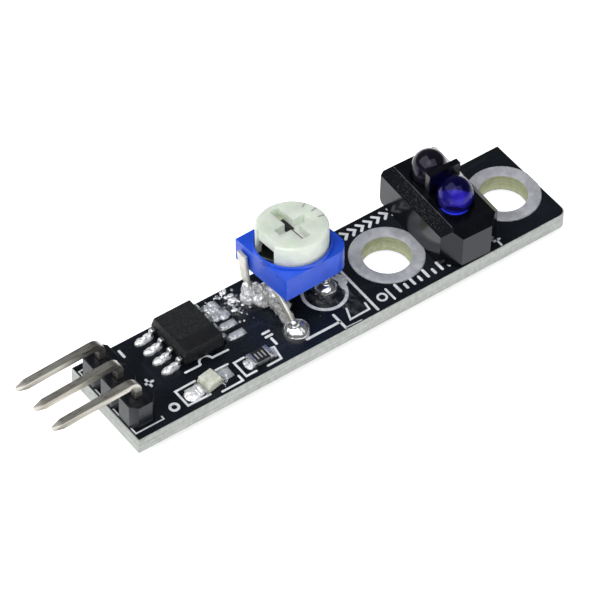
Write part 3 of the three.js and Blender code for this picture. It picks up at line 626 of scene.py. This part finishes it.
def shard_mesh(name, places, seed):
    """Angular glassy lumps, each the hull of a few scattered points. Each is x, y, z and three radii."""
    draw = random.Random(seed)
    made = bmesh.new()
    for x, y, z, rx, ry, rz in places:
        corners = []
        for _ in range(SHARD_CORNERS):
            way = Vector([draw.gauss(0, 1) for _ in range(3)]).normalized()
            corner = Vector((x + way.x * rx, y + way.y * ry, max(z + way.z * rz, 0.0)))
            corners.append(made.verts.new(corner))
        bmesh.ops.convex_hull(made, input=corners)
    return mesh_from(name, made)


# ---- circuit board --------------------------------------------------------------

MASK_THICKNESS = 0.04
EDGE_SHOWN = 0.07
CORNER_RADIUS = 0.7
SCREW_HOLE_RADIUS = 2.1
BORE_WALL_REACH = SCREW_HOLE_RADIUS + 0.05
RING_MARGIN = 0.03
CLIP_SLOT_HALF = (0.5, 0.85)
CLIP_SLOT_X = 2.15
INK_LOW, INK_HIGH = -0.01, 0.022
TRACK_SUNK, TRACK_RAISED = 0.01, 0.012
VIA_RADII = (0.32, 0.15)


def screw_places():
    """Both screw holes' middles and the rings' radius. The board trims the end ring, not the other."""
    low, high = limits_of("screw_ring_middle_top")
    radius = (high.x - low.x) / 2
    end_low = limits_of("screw_ring_end_top")[0]
    return [(low.x + radius, BOARD_MIDDLE), (end_low.x + radius, BOARD_MIDDLE)], radius


def board_outline(inset=0.0, bite=None):
    """The board seen from above. A bite leaves out a round opening that reaches past its far end."""
    radius = CORNER_RADIUS
    right, low = BOARD_LENGTH - inset, inset
    end = []
    if bite:
        x, y, reach = bite
        turn = math.degrees(math.acos((right - x) / reach))
        end = arc(x, y, reach, -turn, turn - 360, 60)
    rounded = arc(right - radius, low + radius, radius, -90, 0, 8)
    return [(inset, low), *rounded, *end, (right, BOARD_WIDTH - inset), (inset, BOARD_WIDTH - inset)]


def clip_slots():
    """The two openings for the sensor's clips, in the board's frame."""
    half_x, half_y = CLIP_SLOT_HALF
    slots = [rectangle(x - half_x, -half_y, x + half_x, half_y) for x in (-CLIP_SLOT_X, CLIP_SLOT_X)]
    return [to_other_frame(slot, SENSOR, BOARD) for slot in slots]


def make_board():
    """A laminate core with a thin mask on each side. The walls of its bores have their own look."""
    (middle, end), ring_radius = screw_places()
    bores = [circle(*middle, SCREW_HOLE_RADIUS), circle(*end, SCREW_HOLE_RADIUS)]
    slots = clip_slots()
    core = plate_mesh("core", [board_outline(), *bores, *slots],
                      UNDERSIDE + MASK_THICKNESS, -MASK_THICKNESS)
    board = add_piece("board_laminate", core, "fibre", stands_for=["circuit_board"])
    core.materials.append(LOOKS["bore"])
    for face in core.polygons:
        for x, y in (middle, end):
            if (face.center - at(x, y)).to_2d().length < BORE_WALL_REACH * MM:
                face.material_index = 1
    soften(board, 0.04)
    opening = ring_radius + RING_MARGIN
    for side, low in (("top", -MASK_THICKNESS), ("bottom", UNDERSIDE)):
        loops = [board_outline(EDGE_SHOWN, (*end, opening)), circle(*middle, opening), *slots]
        skin = plate_mesh(side, loops, low, low + MASK_THICKNESS)
        add_piece(f"board_mask_{side}", skin, "mask", smooth=False)


def make_rings():
    for ring in ("screw_ring_middle", "screw_ring_end"):
        for side in ("top", "bottom"):
            refine(f"{ring}_{side}", "tin_ring", 0.02)


# Each track is its line and its width.
TOP_TRACKS = [
    ([(5.6, 8.3), (4.6, 8.9), (2.9, 8.9)], 0.35),
    ([(5.6, 7.0), (4.9, 6.4), (4.9, 3.9), (3.0, 3.3)], 0.35),
    ([(13.4, 4.7), (15.2, 4.7), (16.2, 3.4), (16.4, 2.6)], 0.4),
    ([(13.9, 1.5), (15.6, 1.5), (16.3, 2.0)], 0.4),
    ([(14.2, 6.0), (15.4, 6.0), (16.2, 6.9)], 0.4),
    ([(18.3, 2.2), (23.6, 3.2), (25.4, 2.6)], 0.45),
    ([(24.9, 8.7), (31.0, 8.7)], 0.3),
    ([(32.2, 1.3), (36.4, 1.3), (37.8, 2.2)], 0.45),
    ([(36.9, 8.6), (41.8, 8.9)], 0.45),
    ([(9.1, 1.6), (11.9, 1.5)], 0.45),
]
BOTTOM_TRACKS = [
    ([(2.6, 7.29), (9.0, 7.29), (11.2, 8.4), (24.0, 8.4), (26.5, 8.9), (31.5, 8.9)], 0.6),
    ([(2.6, 4.75), (14.0, 4.75), (16.0, 6.4)], 0.6),
    ([(2.6, 2.21), (8.0, 2.21), (10.2, 1.2), (15.8, 1.2)], 0.6),
    ([(17.9, 2.2), (23.0, 2.2), (25.2, 0.9), (31.0, 0.9), (32.6, 2.6)], 0.6),
    ([(22.4, 5.6), (24.4, 7.8)], 0.6),
]
VIAS = [(24.7, 7.3), (36.9, 3.0)]


def make_tracks():
    """Copper under the mask lifts it slightly, and small holes join the two sides."""
    outer, inner = VIA_RADII
    for side, tracks, low, high in (
            ("top", TOP_TRACKS, -TRACK_SUNK, TRACK_RAISED),
            ("bottom", BOTTOM_TRACKS, UNDERSIDE - TRACK_RAISED, UNDERSIDE + TRACK_SUNK)):
        raised = [plate_mesh("track", [ribbon(line, width)], low, high) for line, width in tracks]
        raised += [plate_mesh("via", [circle(x, y, outer, 28), circle(x, y, inner, 20)], low, high)
                   for x, y in VIAS]
        add_piece(f"masked_tracks_{side}", joined("tracks", raised), "track", smooth=False)


# ---- printed marks --------------------------------------------------------------

FINE, BOLD, HEAVY = 0.2, 0.24, 0.26


def printed(name, lines, width, rings=()):
    """White print: lines of one width, and rings given as x, y and radius."""
    half = width / 2
    meshes = [plate_mesh(name, [ribbon(line, width)], INK_LOW, INK_HIGH) for line in lines]
    meshes += [plate_mesh(name, [circle(x, y, r + half), circle(x, y, r - half)], INK_LOW, INK_HIGH)
               for x, y, r in rings]
    add_piece(f"print_{name}", joined(name, meshes), "ink", smooth=False)


def make_print():
    """Plain marks where the photograph has print."""
    printed("header_frame", [
        [(2.95, 1.02), (2.95, 0.72), (0.25, 0.72), (0.25, 8.78), (2.95, 8.78), (2.95, 8.5)],
    ], 0.13)
    printed("minus", [[(4.15, 8.0), (4.15, 8.75)]], BOLD)
    printed("plus", [[(4.15, 4.15), (4.15, 4.95)], [(3.75, 4.55), (4.55, 4.55)]], BOLD)
    printed("signal_ring", [], BOLD, rings=[(4.35, 1.25, 0.36)])
    printed("comparator_line", [
        [(7.2, 3.75), (8.55, 3.72), *arc(9.3, 3.75, 0.6, 178, 8, 12), (11.45, 3.78)],
    ], FINE)
    printed("indicator_brackets", [
        [(7.3, 2.58), (5.35, 2.55), (5.35, 0.74), (7.5, 0.70)],
        [(8.95, 2.56), (10.5, 2.54)], [(10.5, 1.0), (10.5, 0.40), (8.46, 0.37)],
    ], FINE)
    printed("resistor_brackets", [
        [(12.0, 2.36), (11.0, 2.34), (11.0, 0.6), (12.0, 0.6)],
        [(14.2, 1.95), (14.67, 1.88), (14.43, 0.53), (13.08, 0.51)],
    ], FINE)
    printed("resistor_mark", [
        [(15.05, 2.05), (15.05, 2.75)], [(14.75, 3.1), (15.35, 3.1)], [(14.75, 3.55), (15.35, 3.55)],
    ], BOLD)
    printed("trimmer_ring", [], 0.3, rings=[(21.55, 4.3, 1.85)])
    printed("trimmer_lines", [
        [(24.1, 5.6), (24.05, 0.3)], [(17.36, 1.0), (20.65, 1.0)], [(20.7, 1.9), (20.7, 0.22)],
    ], BOLD)
    printed("edge_hairline", [[(20.7, 0.22), (22.3, 0.16)]], 0.07)
    printed("corner_mark", [[(22.0, 1.87), (21.55, 0.72), (23.5, 0.75), (23.6, 1.5)]], 0.18)
    arrow_tails = [26.6 + 0.82 * i for i in range(7)]
    printed("direction_arrows", [[(x, 8.15), (x + 0.42, 8.55), (x, 8.95)] for x in arrow_tails], HEAVY)
    ticks = [(26.8 + 0.72 * i, 1.3 if i % 2 else 1.7) for i in range(9)]
    printed("scale_ticks", [[(x, 0.85), (x, top)] for x, top in ticks], HEAVY)
    printed("side_ring", [[(25.9, 0.45), (25.9, 1.75)]], FINE, rings=[(25.15, 1.2, 0.38)])
    printed("end_tick", [[(36.8, 0.2), (36.8, 0.85)], [(36.5, 0.85), (37.1, 0.85)]], FINE)


# ---- pin header -----------------------------------------------------------------

def make_header():
    refine("header_block", "nylon", 0.05)
    for i in range(1, 4):
        refine(f"header_pin_{i}", "pin", 0.05, 3)
        refine(f"header_solder_{i}", "solder", 0.02)


# ---- comparator -----------------------------------------------------------------

BAND_END_Y = 5.72
BAND_INSET = 0.24
BAND_HALF_HEIGHT = 0.02
PLATE_LOW = -0.01
SPLASH_LIMITS = (0.4, BOARD_WIDTH - 0.35)


def make_comparator():
    """The package and its leads, with solder at their feet."""
    refine("comparator_body", "epoxy", 0.06)
    low, high = limits_of("comparator_body")
    band = rectangle(low.x + BAND_INSET, low.y + BAND_INSET, high.x - BAND_INSET, BAND_END_Y)
    plate = plate_mesh("band", [band], high.z - BAND_HALF_HEIGHT, high.z + BAND_HALF_HEIGHT)
    add_piece("comparator_top_band", plate, "epoxy_band", smooth=False)
    for i in range(1, 9):
        refine(f"comparator_lead_{i}", "lead", 0.03)
    for i in range(1, 5):
        x, y = limits_of(f"comparator_lead_{i}")[0].x, middle_of(f"comparator_lead_{i}").y
        balls = [(x - 0.15, y, 0.03, 0.68, 0.40, 0.34), (x + 0.45, y + 0.03, 0.08, 0.58, 0.36, 0.42),
                 (x + 0.2, y, 0.2, 0.35, 0.25, 0.30)]
        pad = lump_mesh("pad", balls, 0.045, i, 0.04, 0.3)
        add_piece(f"comparator_pad_{i}", pad, "solder")
    for i in (5, 6):
        x, y = limits_of(f"comparator_lead_{i}")[1].x, middle_of(f"comparator_lead_{i}").y
        balls = [(x + 0.10, y, 0.02, 0.66, 0.38, 0.24), (x + 0.72, y - 0.02, 0.01, 0.50, 0.38, 0.19)]
        flat = plate_mesh("flat", [rectangle(x - 0.1, y - 0.37, x + 1.2, y + 0.37)], PLATE_LOW, 0.11)
        pad = joined("pad", [lump_mesh("pad", balls, 0.045, i + 10, 0.035, 0.3), flat])
        add_piece(f"comparator_pad_{i}", pad, "pad")
    balls = [(12.7, 7.25, 0.0, 0.6, 0.5, 0.24), (13.35, 7.1, 0.0, 0.55, 0.55, 0.2),
             (12.9, 8.0, 0.0, 0.65, 0.5, 0.25), (13.2, 8.55, 0.0, 0.5, 0.4, 0.2),
             (12.5, 8.5, 0.0, 0.4, 0.35, 0.24)]
    plates = [[(12.2, 6.85), (13.85, 6.75), (13.8, 7.75), (12.2, 7.7)],
              [(12.3, 7.85), (13.65, 7.85), (13.6, 8.8), (12.4, 8.7)]]
    pad = joined("pad", [lump_mesh("pad", balls, 0.05, 21, 0.07, 0.3),
                         *(plate_mesh("flat", [outline], PLATE_LOW, 0.13) for outline in plates)])
    add_piece("comparator_pad_7", pad, "pad")


def droplets(name, seed, count, centre, spread_xy, radii, look):
    """Flattened splashes of solder, scattered about a middle and kept on the board."""
    draw = random.Random(seed)
    made = bmesh.new()
    for _ in range(count):
        x, y = (draw.gauss(c, s) for c, s in zip(centre, spread_xy))
        size = draw.uniform(*radii)
        scale = Matrix.Diagonal((size * draw.uniform(0.8, 1.7), size, size * draw.uniform(0.4, 0.8), 1.0))
        turn = Matrix.Rotation(draw.uniform(0, math.pi), 4, "Z")
        y = min(max(y, SPLASH_LIMITS[0]), SPLASH_LIMITS[1])
        blob(made, Matrix.Translation((x, y, 0.01)) @ turn @ scale, 2)
    for vertex in made.verts:
        vertex.co += Vector((1, 1, 0.4)) * 0.04 * noise.noise(vertex.co * 6.0)
        vertex.co.z = max(vertex.co.z, -SUNK)
    add_piece(name, mesh_from(name, made), look)


def make_splashes():
    """Solder, dried flux and smeared print left on the board round the trimmer."""
    droplets("splash_bright", 5, 17, (14.72, 7.8), (0.26, 0.7), (0.08, 0.24), "solder")
    droplets("splash_far", 8, 12, (13.85, 8.85), (0.5, 0.16), (0.04, 0.12), "solder")
    droplets("splash_dull", 6, 34, (14.75, 7.5), (0.5, 0.8), (0.04, 0.15), "dull_solder")
    droplets("circle_crumbs", 7, 34, (21.1, 4.2), (0.7, 0.7), (0.02, 0.06), "dull_solder")
    patch = lump_mesh("patch", [(23.6, 4.75, 0.0, 0.42, 0.7, 0.05), (23.3, 4.1, 0.0, 0.3, 0.6, 0.04)],
                      0.04, 4, 0.03, 0.3)
    add_piece("print_smear", patch, "ink")
    rough = lump_mesh("film", [(14.7, 7.5, 0.0, 1.0, 1.5, 0.05), (21.2, 4.2, 0.0, 1.7, 1.7, 0.035),
                               (22.9, 2.2, 0.0, 1.1, 1.6, 0.035), (23.3, 4.7, 0.0, 0.9, 1.0, 0.05)],
                      0.04, 3, 0.01, 0.4)
    add_piece("flux_smear", rough, "film")


# ---- trimmer --------------------------------------------------------------------

# Heights here are along the dial's axis, from the joint's position.
ROTOR_TOP = 1.78
TICK_RADII = (2.36, 2.78)
TICK_ANGLES = (30, 8, -14)
WELL_SHADE_RADII = (3.08, 1.1)
BLADE = [(-2.85, 0.6), (-2.2, -0.85)]
# Outline and height of the near-black plate of painted shade in the dial's window.
WINDOW = [(-0.41, -1.65), (0.17, -1.65), (0.17, 0.2), (0.39, 0.2), (0.39, 1.65), (-0.41, 1.65)]
WINDOW_Z = 1.05
WELL_FLOOR = -1.0


def make_trimmer():
    """The housing and the dial, with near-black plates of painted shade in the dial's window and on the
    well's floor.
    """
    refine("trimmer_housing", "blue", 0.10, 3)
    refine("trimmer_rotor", "ivory", 0.14, 3)
    refine("trimmer_wiper", "bronze", 0.02)
    refine("trimmer_track", "carbon", 0.02)
    for end in ("near", "far", "wiper"):
        refine(f"trimmer_terminal_{end}", "tag", 0.04)
    ticks = [[(r * math.cos(a), r * math.sin(a)) for r in TICK_RADII]
             for a in map(math.radians, TICK_ANGLES)]
    marks = lines_mesh("ticks", ticks, 0.15, ROTOR_TOP - 0.01, ROTOR_TOP + 0.012)
    add_piece("dial_ticks", marks, "grey_ink", DIAL_TOP, DIAL, smooth=False)
    # A near-black ring on the well's floor: painted shade in the deep well.
    outer, inner = WELL_SHADE_RADII
    ring = plate_mesh("ring", [circle(0, 0, outer, 72), circle(0, 0, inner, 48)],
                      WELL_FLOOR, WELL_FLOOR + 0.05)
    add_piece("trimmer_well_painted_shade", ring, "shade", DIAL_TOP, smooth=False)
    stain = plate_mesh("stain", [rectangle(-0.41, 1.66, 0.41, 2.32)], WINDOW_Z - 0.05, WINDOW_Z - 0.005)
    add_piece("dial_slot_stain", stain, "stain", DIAL_TOP, DIAL, smooth=False)
    blade = plate_mesh("blade", [ribbon(BLADE, 0.09)], WELL_FLOOR + 0.12, WELL_FLOOR + 0.5)
    add_piece("dial_contact_blade", blade, "lead", DIAL_TOP, DIAL, smooth=False)
    # A near-black plate under the slot's window: painted shade in the deep window.
    window = plate_mesh("window", [WINDOW], WINDOW_Z - 0.08, WINDOW_Z)
    add_piece("dial_window_painted_shade", window, "shade", DIAL_TOP, DIAL, smooth=False)


def make_trimmer_solder():
    """A bead on each tag, and the crust and glassy flux between the two on the pin side."""
    dome = lump_mesh("dome", [(17.2, 2.24, 0.0, 1.2, 1.2, 0.95), (17.0, 2.3, 0.6, 0.5, 0.5, 0.75)],
                     0.06, 31, 0.035, 0.7)
    add_piece("trimmer_bead_near", dome, "bead", stands_for=["trimmer_solder_near"])
    far = lump_mesh("far", [
        (16.3, 7.4, 0.1, 0.95, 0.75, 0.75), (16.9, 6.6, 0.05, 0.8, 0.6, 0.7),
        (16.2, 7.9, 0.5, 0.35, 0.5, 0.9), (17.3, 7.2, 0.2, 0.7, 0.6, 0.9),
    ], 0.06, 32, 0.11, 0.45)
    add_piece("trimmer_bead_far", far, "solder", stands_for=["trimmer_solder_far"])
    back = lump_mesh("back", [(21.95, 4.7, 0.0, 1.0, 1.0, 0.75), (21.95, 4.75, 0.4, 0.4, 0.5, 0.6)],
                     0.06, 33, 0.05, 0.5)
    add_piece("trimmer_bead_wiper", back, "bead", stands_for=["trimmer_solder_wiper"])
    crust = lump_mesh("crust", [
        (17.4, 4.5, 0.5, 0.5, 1.0, 0.7), (17.5, 5.5, 0.8, 0.6, 0.6, 0.8),
        (17.5, 6.2, 0.8, 0.6, 0.7, 0.9), (17.3, 3.5, 0.4, 0.45, 0.6, 0.6),
    ], 0.07, 34, 0.10, 0.5)
    add_piece("trimmer_flux_crust", crust, "solder")
    shards = shard_mesh("shards", [
        (17.45, 4.1, 1.0, 0.60, 0.85, 0.80), (17.5, 4.9, 1.3, 0.55, 0.70, 0.85),
        (17.3, 3.3, 0.7, 0.45, 0.50, 0.60), (17.7, 5.8, 1.1, 0.60, 0.65, 0.85),
        (17.8, 6.8, 1.0, 0.75, 0.75, 0.90), (16.7, 7.1, 1.0, 0.60, 0.65, 0.70),
        (16.0, 7.2, 0.9, 0.55, 0.60, 0.55), (16.5, 8.1, 0.7, 0.60, 0.50, 0.60),
        (16.7, 5.9, 0.3, 0.45, 0.40, 0.35), (17.1, 4.5, 0.5, 0.45, 0.60, 0.50),
        (16.85, 3.5, 0.8, 0.40, 0.55, 0.70), (16.85, 4.3, 1.2, 0.45, 0.55, 0.75),
        (17.0, 5.3, 0.8, 0.45, 0.50, 0.75), (16.9, 6.2, 0.9, 0.50, 0.50, 0.80),
        (17.15, 3.75, 1.45, 0.40, 0.50, 0.55),
    ], 8)
    soften(add_piece("trimmer_flux_shards", shards, "flux", smooth=False), 0.05)


# ---- reflective optical sensor --------------------------------------------------

# Heights and places here are in the sensor's own frame.
LENS_HALF_SPACING = 1.85
LENS_RADIUS = 1.5
LENS_BOTTOM = 0.6
DOME_Z = 5.1
SHELL_SIDE = 2.9
SHELL_END = 4.95
SHOULDER_Z = 3.2
RIDGE_X = 2.0
SHELL_TOP = 4.2
CUP_PROFILE = [(0, 3.55), (0.85, 3.55), (1.05, 4.25), (0.95, 4.25), (0.62, 3.72), (0, 3.72)]
POST_PROFILE = [(0, 0.7), (0.25, 0.7), (0.25, 3.6), (0, 3.6)]
POST_X = 0.2
DIE_HALF = 0.28
GRAIN_COUNT = 330


def lens_profile():
    """A rod with a hemisphere on top and a slightly bevelled foot."""
    bevel, steps = 0.05, 24
    turns = [math.pi / 2 * i / steps for i in range(steps)]
    rounded = [(LENS_RADIUS * math.cos(t), DOME_Z + LENS_RADIUS * math.sin(t)) for t in turns]
    foot = [(0, LENS_BOTTOM), (LENS_RADIUS - bevel, LENS_BOTTOM), (LENS_RADIUS, LENS_BOTTOM + bevel)]
    return [*foot, *rounded, (0, DOME_Z + LENS_RADIUS)]


def make_lens(name, look, y):
    """A clear lens, with the metal cup, post and chip that show inside it."""
    rod = turned_mesh(name, lens_profile(), 0, y, 96)
    add_piece(f"{name}_body", rod, look, SENSOR, stands_for=[name])
    cup = turned_mesh("cup", CUP_PROFILE, 0, y, 48)
    add_piece(f"{name}_cup", cup, "lead", SENSOR)
    square = rectangle(-DIE_HALF, y - DIE_HALF, DIE_HALF, y + DIE_HALF)
    die = plate_mesh("die", [square], 3.70, 3.95)
    soften(add_piece(f"{name}_die", die, "die", SENSOR, smooth=False), 0.03)
    post = turned_mesh("post", POST_PROFILE, POST_X, y, 20)
    add_piece(f"{name}_post", post, "lead", SENSOR)


def make_bevel_grain():
    """Worn specks that stand on the left bevel, and a painted highlight along the ridge above it."""
    draw = random.Random(12)
    made = bmesh.new()
    slope = (SHELL_TOP - SHOULDER_Z) / (SHELL_SIDE - RIDGE_X)
    tilt = Matrix.Rotation(-math.atan(slope), 4, "Y")
    for _ in range(GRAIN_COUNT):
        x = draw.uniform(-SHELL_SIDE + 0.08, -RIDGE_X - 0.06)
        y = draw.triangular(1.0 - SHELL_END, SHELL_END - 0.7, -1.0)
        size = draw.uniform(0.02, 0.055)
        length, width = size * draw.uniform(0.8, 1.6), size * draw.uniform(0.8, 2.2)
        scale = Matrix.Diagonal((length, width, size * 0.35, 1.0))
        place = Matrix.Translation((x, y, SHOULDER_Z + (x + SHELL_SIDE) * slope))
        turn = Matrix.Rotation(draw.uniform(0, math.pi), 4, "Z")
        blob(made, place @ tilt @ turn @ scale, 1)
    grain = mesh_from("grain", made)
    add_piece("sensor_bevel_grain", grain, "worn_shell", SENSOR)
    # A lighter ribbon along the ridge: painted highlight.
    highlight_line = ribbon([(-RIDGE_X, 0.75 - SHELL_END), (-RIDGE_X, SHELL_END - 0.9)], 0.05)
    ridge = plate_mesh("ridge", [highlight_line], SHELL_TOP - 0.03, SHELL_TOP + 0.006)
    add_piece("sensor_ridge_painted_highlight", ridge, "ridge", SENSOR, smooth=False)


def make_sensor():
    """The housing, both lenses and the leads, with a painted blue glow at the blue lens's foot."""
    refine("sensor_housing", "shell", 0.05)
    make_lens("emitter_lens", "blue_lens", -LENS_HALF_SPACING)
    make_lens("detector_lens", "dark_lens", LENS_HALF_SPACING)
    # A crescent that glows by emission at the emitter's foot: painted glow, not a lamp.
    outer = arc(-0.28, -LENS_HALF_SPACING - 0.355, 1.25, 168, 296, 36)
    inner = arc(0, -LENS_HALF_SPACING, LENS_RADIUS, 280, 184, 36)
    foot = plate_mesh("foot", [outer + inner], SHELL_TOP - 0.05, SHELL_TOP + 0.05)
    soften(add_piece("emitter_foot_painted_glow", foot, "painted_blue_glow", SENSOR), 0.03)
    make_bevel_grain()
    for i in range(1, 5):
        refine(f"sensor_lead_{i}", "lead", 0.03)
        refine(f"sensor_solder_{i}", "solder", 0.02)


# ---- indicator light and resistor -----------------------------------------------

def make_indicator():
    """The chip light and the solder at its two ends."""
    refine("indicator_base", "ceramic", 0.02)
    refine("indicator_lens", "led_resin", 0.07, 3)
    for i in (1, 2):
        refine(f"indicator_terminal_{i}", "lead", 0.03)
    left = lump_mesh("left", [(6.5, 1.5, 0.02, 0.80, 0.70, 0.26), (6.1, 1.45, 0.0, 0.55, 0.66, 0.16),
                              (6.95, 1.5, 0.15, 0.30, 0.65, 0.40)], 0.045, 41, 0.03, 0.35)
    right = lump_mesh("right", [(9.65, 1.85, 0.0, 0.62, 0.6, 0.34), (9.2, 1.75, 0.1, 0.35, 0.55, 0.30)],
                      0.045, 42, 0.04, 0.3)
    for side, bead, outline, look, solder in (
            ("left", left, [(5.75, 0.98), (7.2, 0.95), (7.2, 2.2), (5.95, 2.15)], "solder", 1),
            ("right", right, [(9.0, 1.15), (10.25, 1.2), (10.3, 2.3), (9.0, 2.35)], "pad", 2)):
        whole = joined(side, [bead, plate_mesh("base", [outline], PLATE_LOW, 0.12)])
        add_piece(f"indicator_bead_{side}", whole, look,
                  stands_for=[f"indicator_solder_{solder}"])
    droplets("indicator_crumbs", 9, 34, (9.2, 1.35), (0.3, 0.28), (0.02, 0.07), "solder")


def make_resistor():
    """A glazed top on a paler body, with three bars, two caps and their solder."""
    refine("resistor_body", "glaze", 0.03)
    body = NODES["resistor_body"].data
    body.materials.append(LOOKS["substrate"])
    for face in body.polygons:
        face.material_index = 0 if face.normal.z > 0.5 else 1
    middle, top = middle_of("resistor_body"), limits_of("resistor_body")[1].z
    bars = [[(middle.x + dx, middle.y - 0.30), (middle.x + dx, middle.y + 0.30)]
            for dx in (-0.34, 0.0, 0.34)]
    marks = lines_mesh("bars", bars, 0.11, top - 0.01, top + 0.012)
    add_piece("resistor_bars", marks, "grey_ink", smooth=False)
    for i, side in ((1, -1), (2, 1)):
        refine(f"resistor_cap_{i}", "lead", 0.03)
        cap_low, cap_high = limits_of(f"resistor_cap_{i}")
        x = cap_low.x if side < 0 else cap_high.x
        balls = [(x + side * 0.18, middle.y, 0.0, 0.36, 0.62, 0.16),
                 (x + side * 0.02, middle.y, 0.08, 0.12, 0.58, 0.30)]
        bead = lump_mesh("bead", balls, 0.045, 50 + i, 0.03, 0.3)
        add_piece(f"resistor_bead_{i}", bead, "pad", stands_for=[f"resistor_solder_{i}"])


# ---- build ----------------------------------------------------------------------

camera()
studio()
make_board_looks()
make_metal_looks()
make_plastic_looks()
make_clear_looks()
floor()
make_board()
make_rings()
make_tracks()
make_print()
make_header()
make_comparator()
make_splashes()
make_trimmer()
make_trimmer_solder()
make_sensor()
make_indicator()
make_resistor()
round_edges()
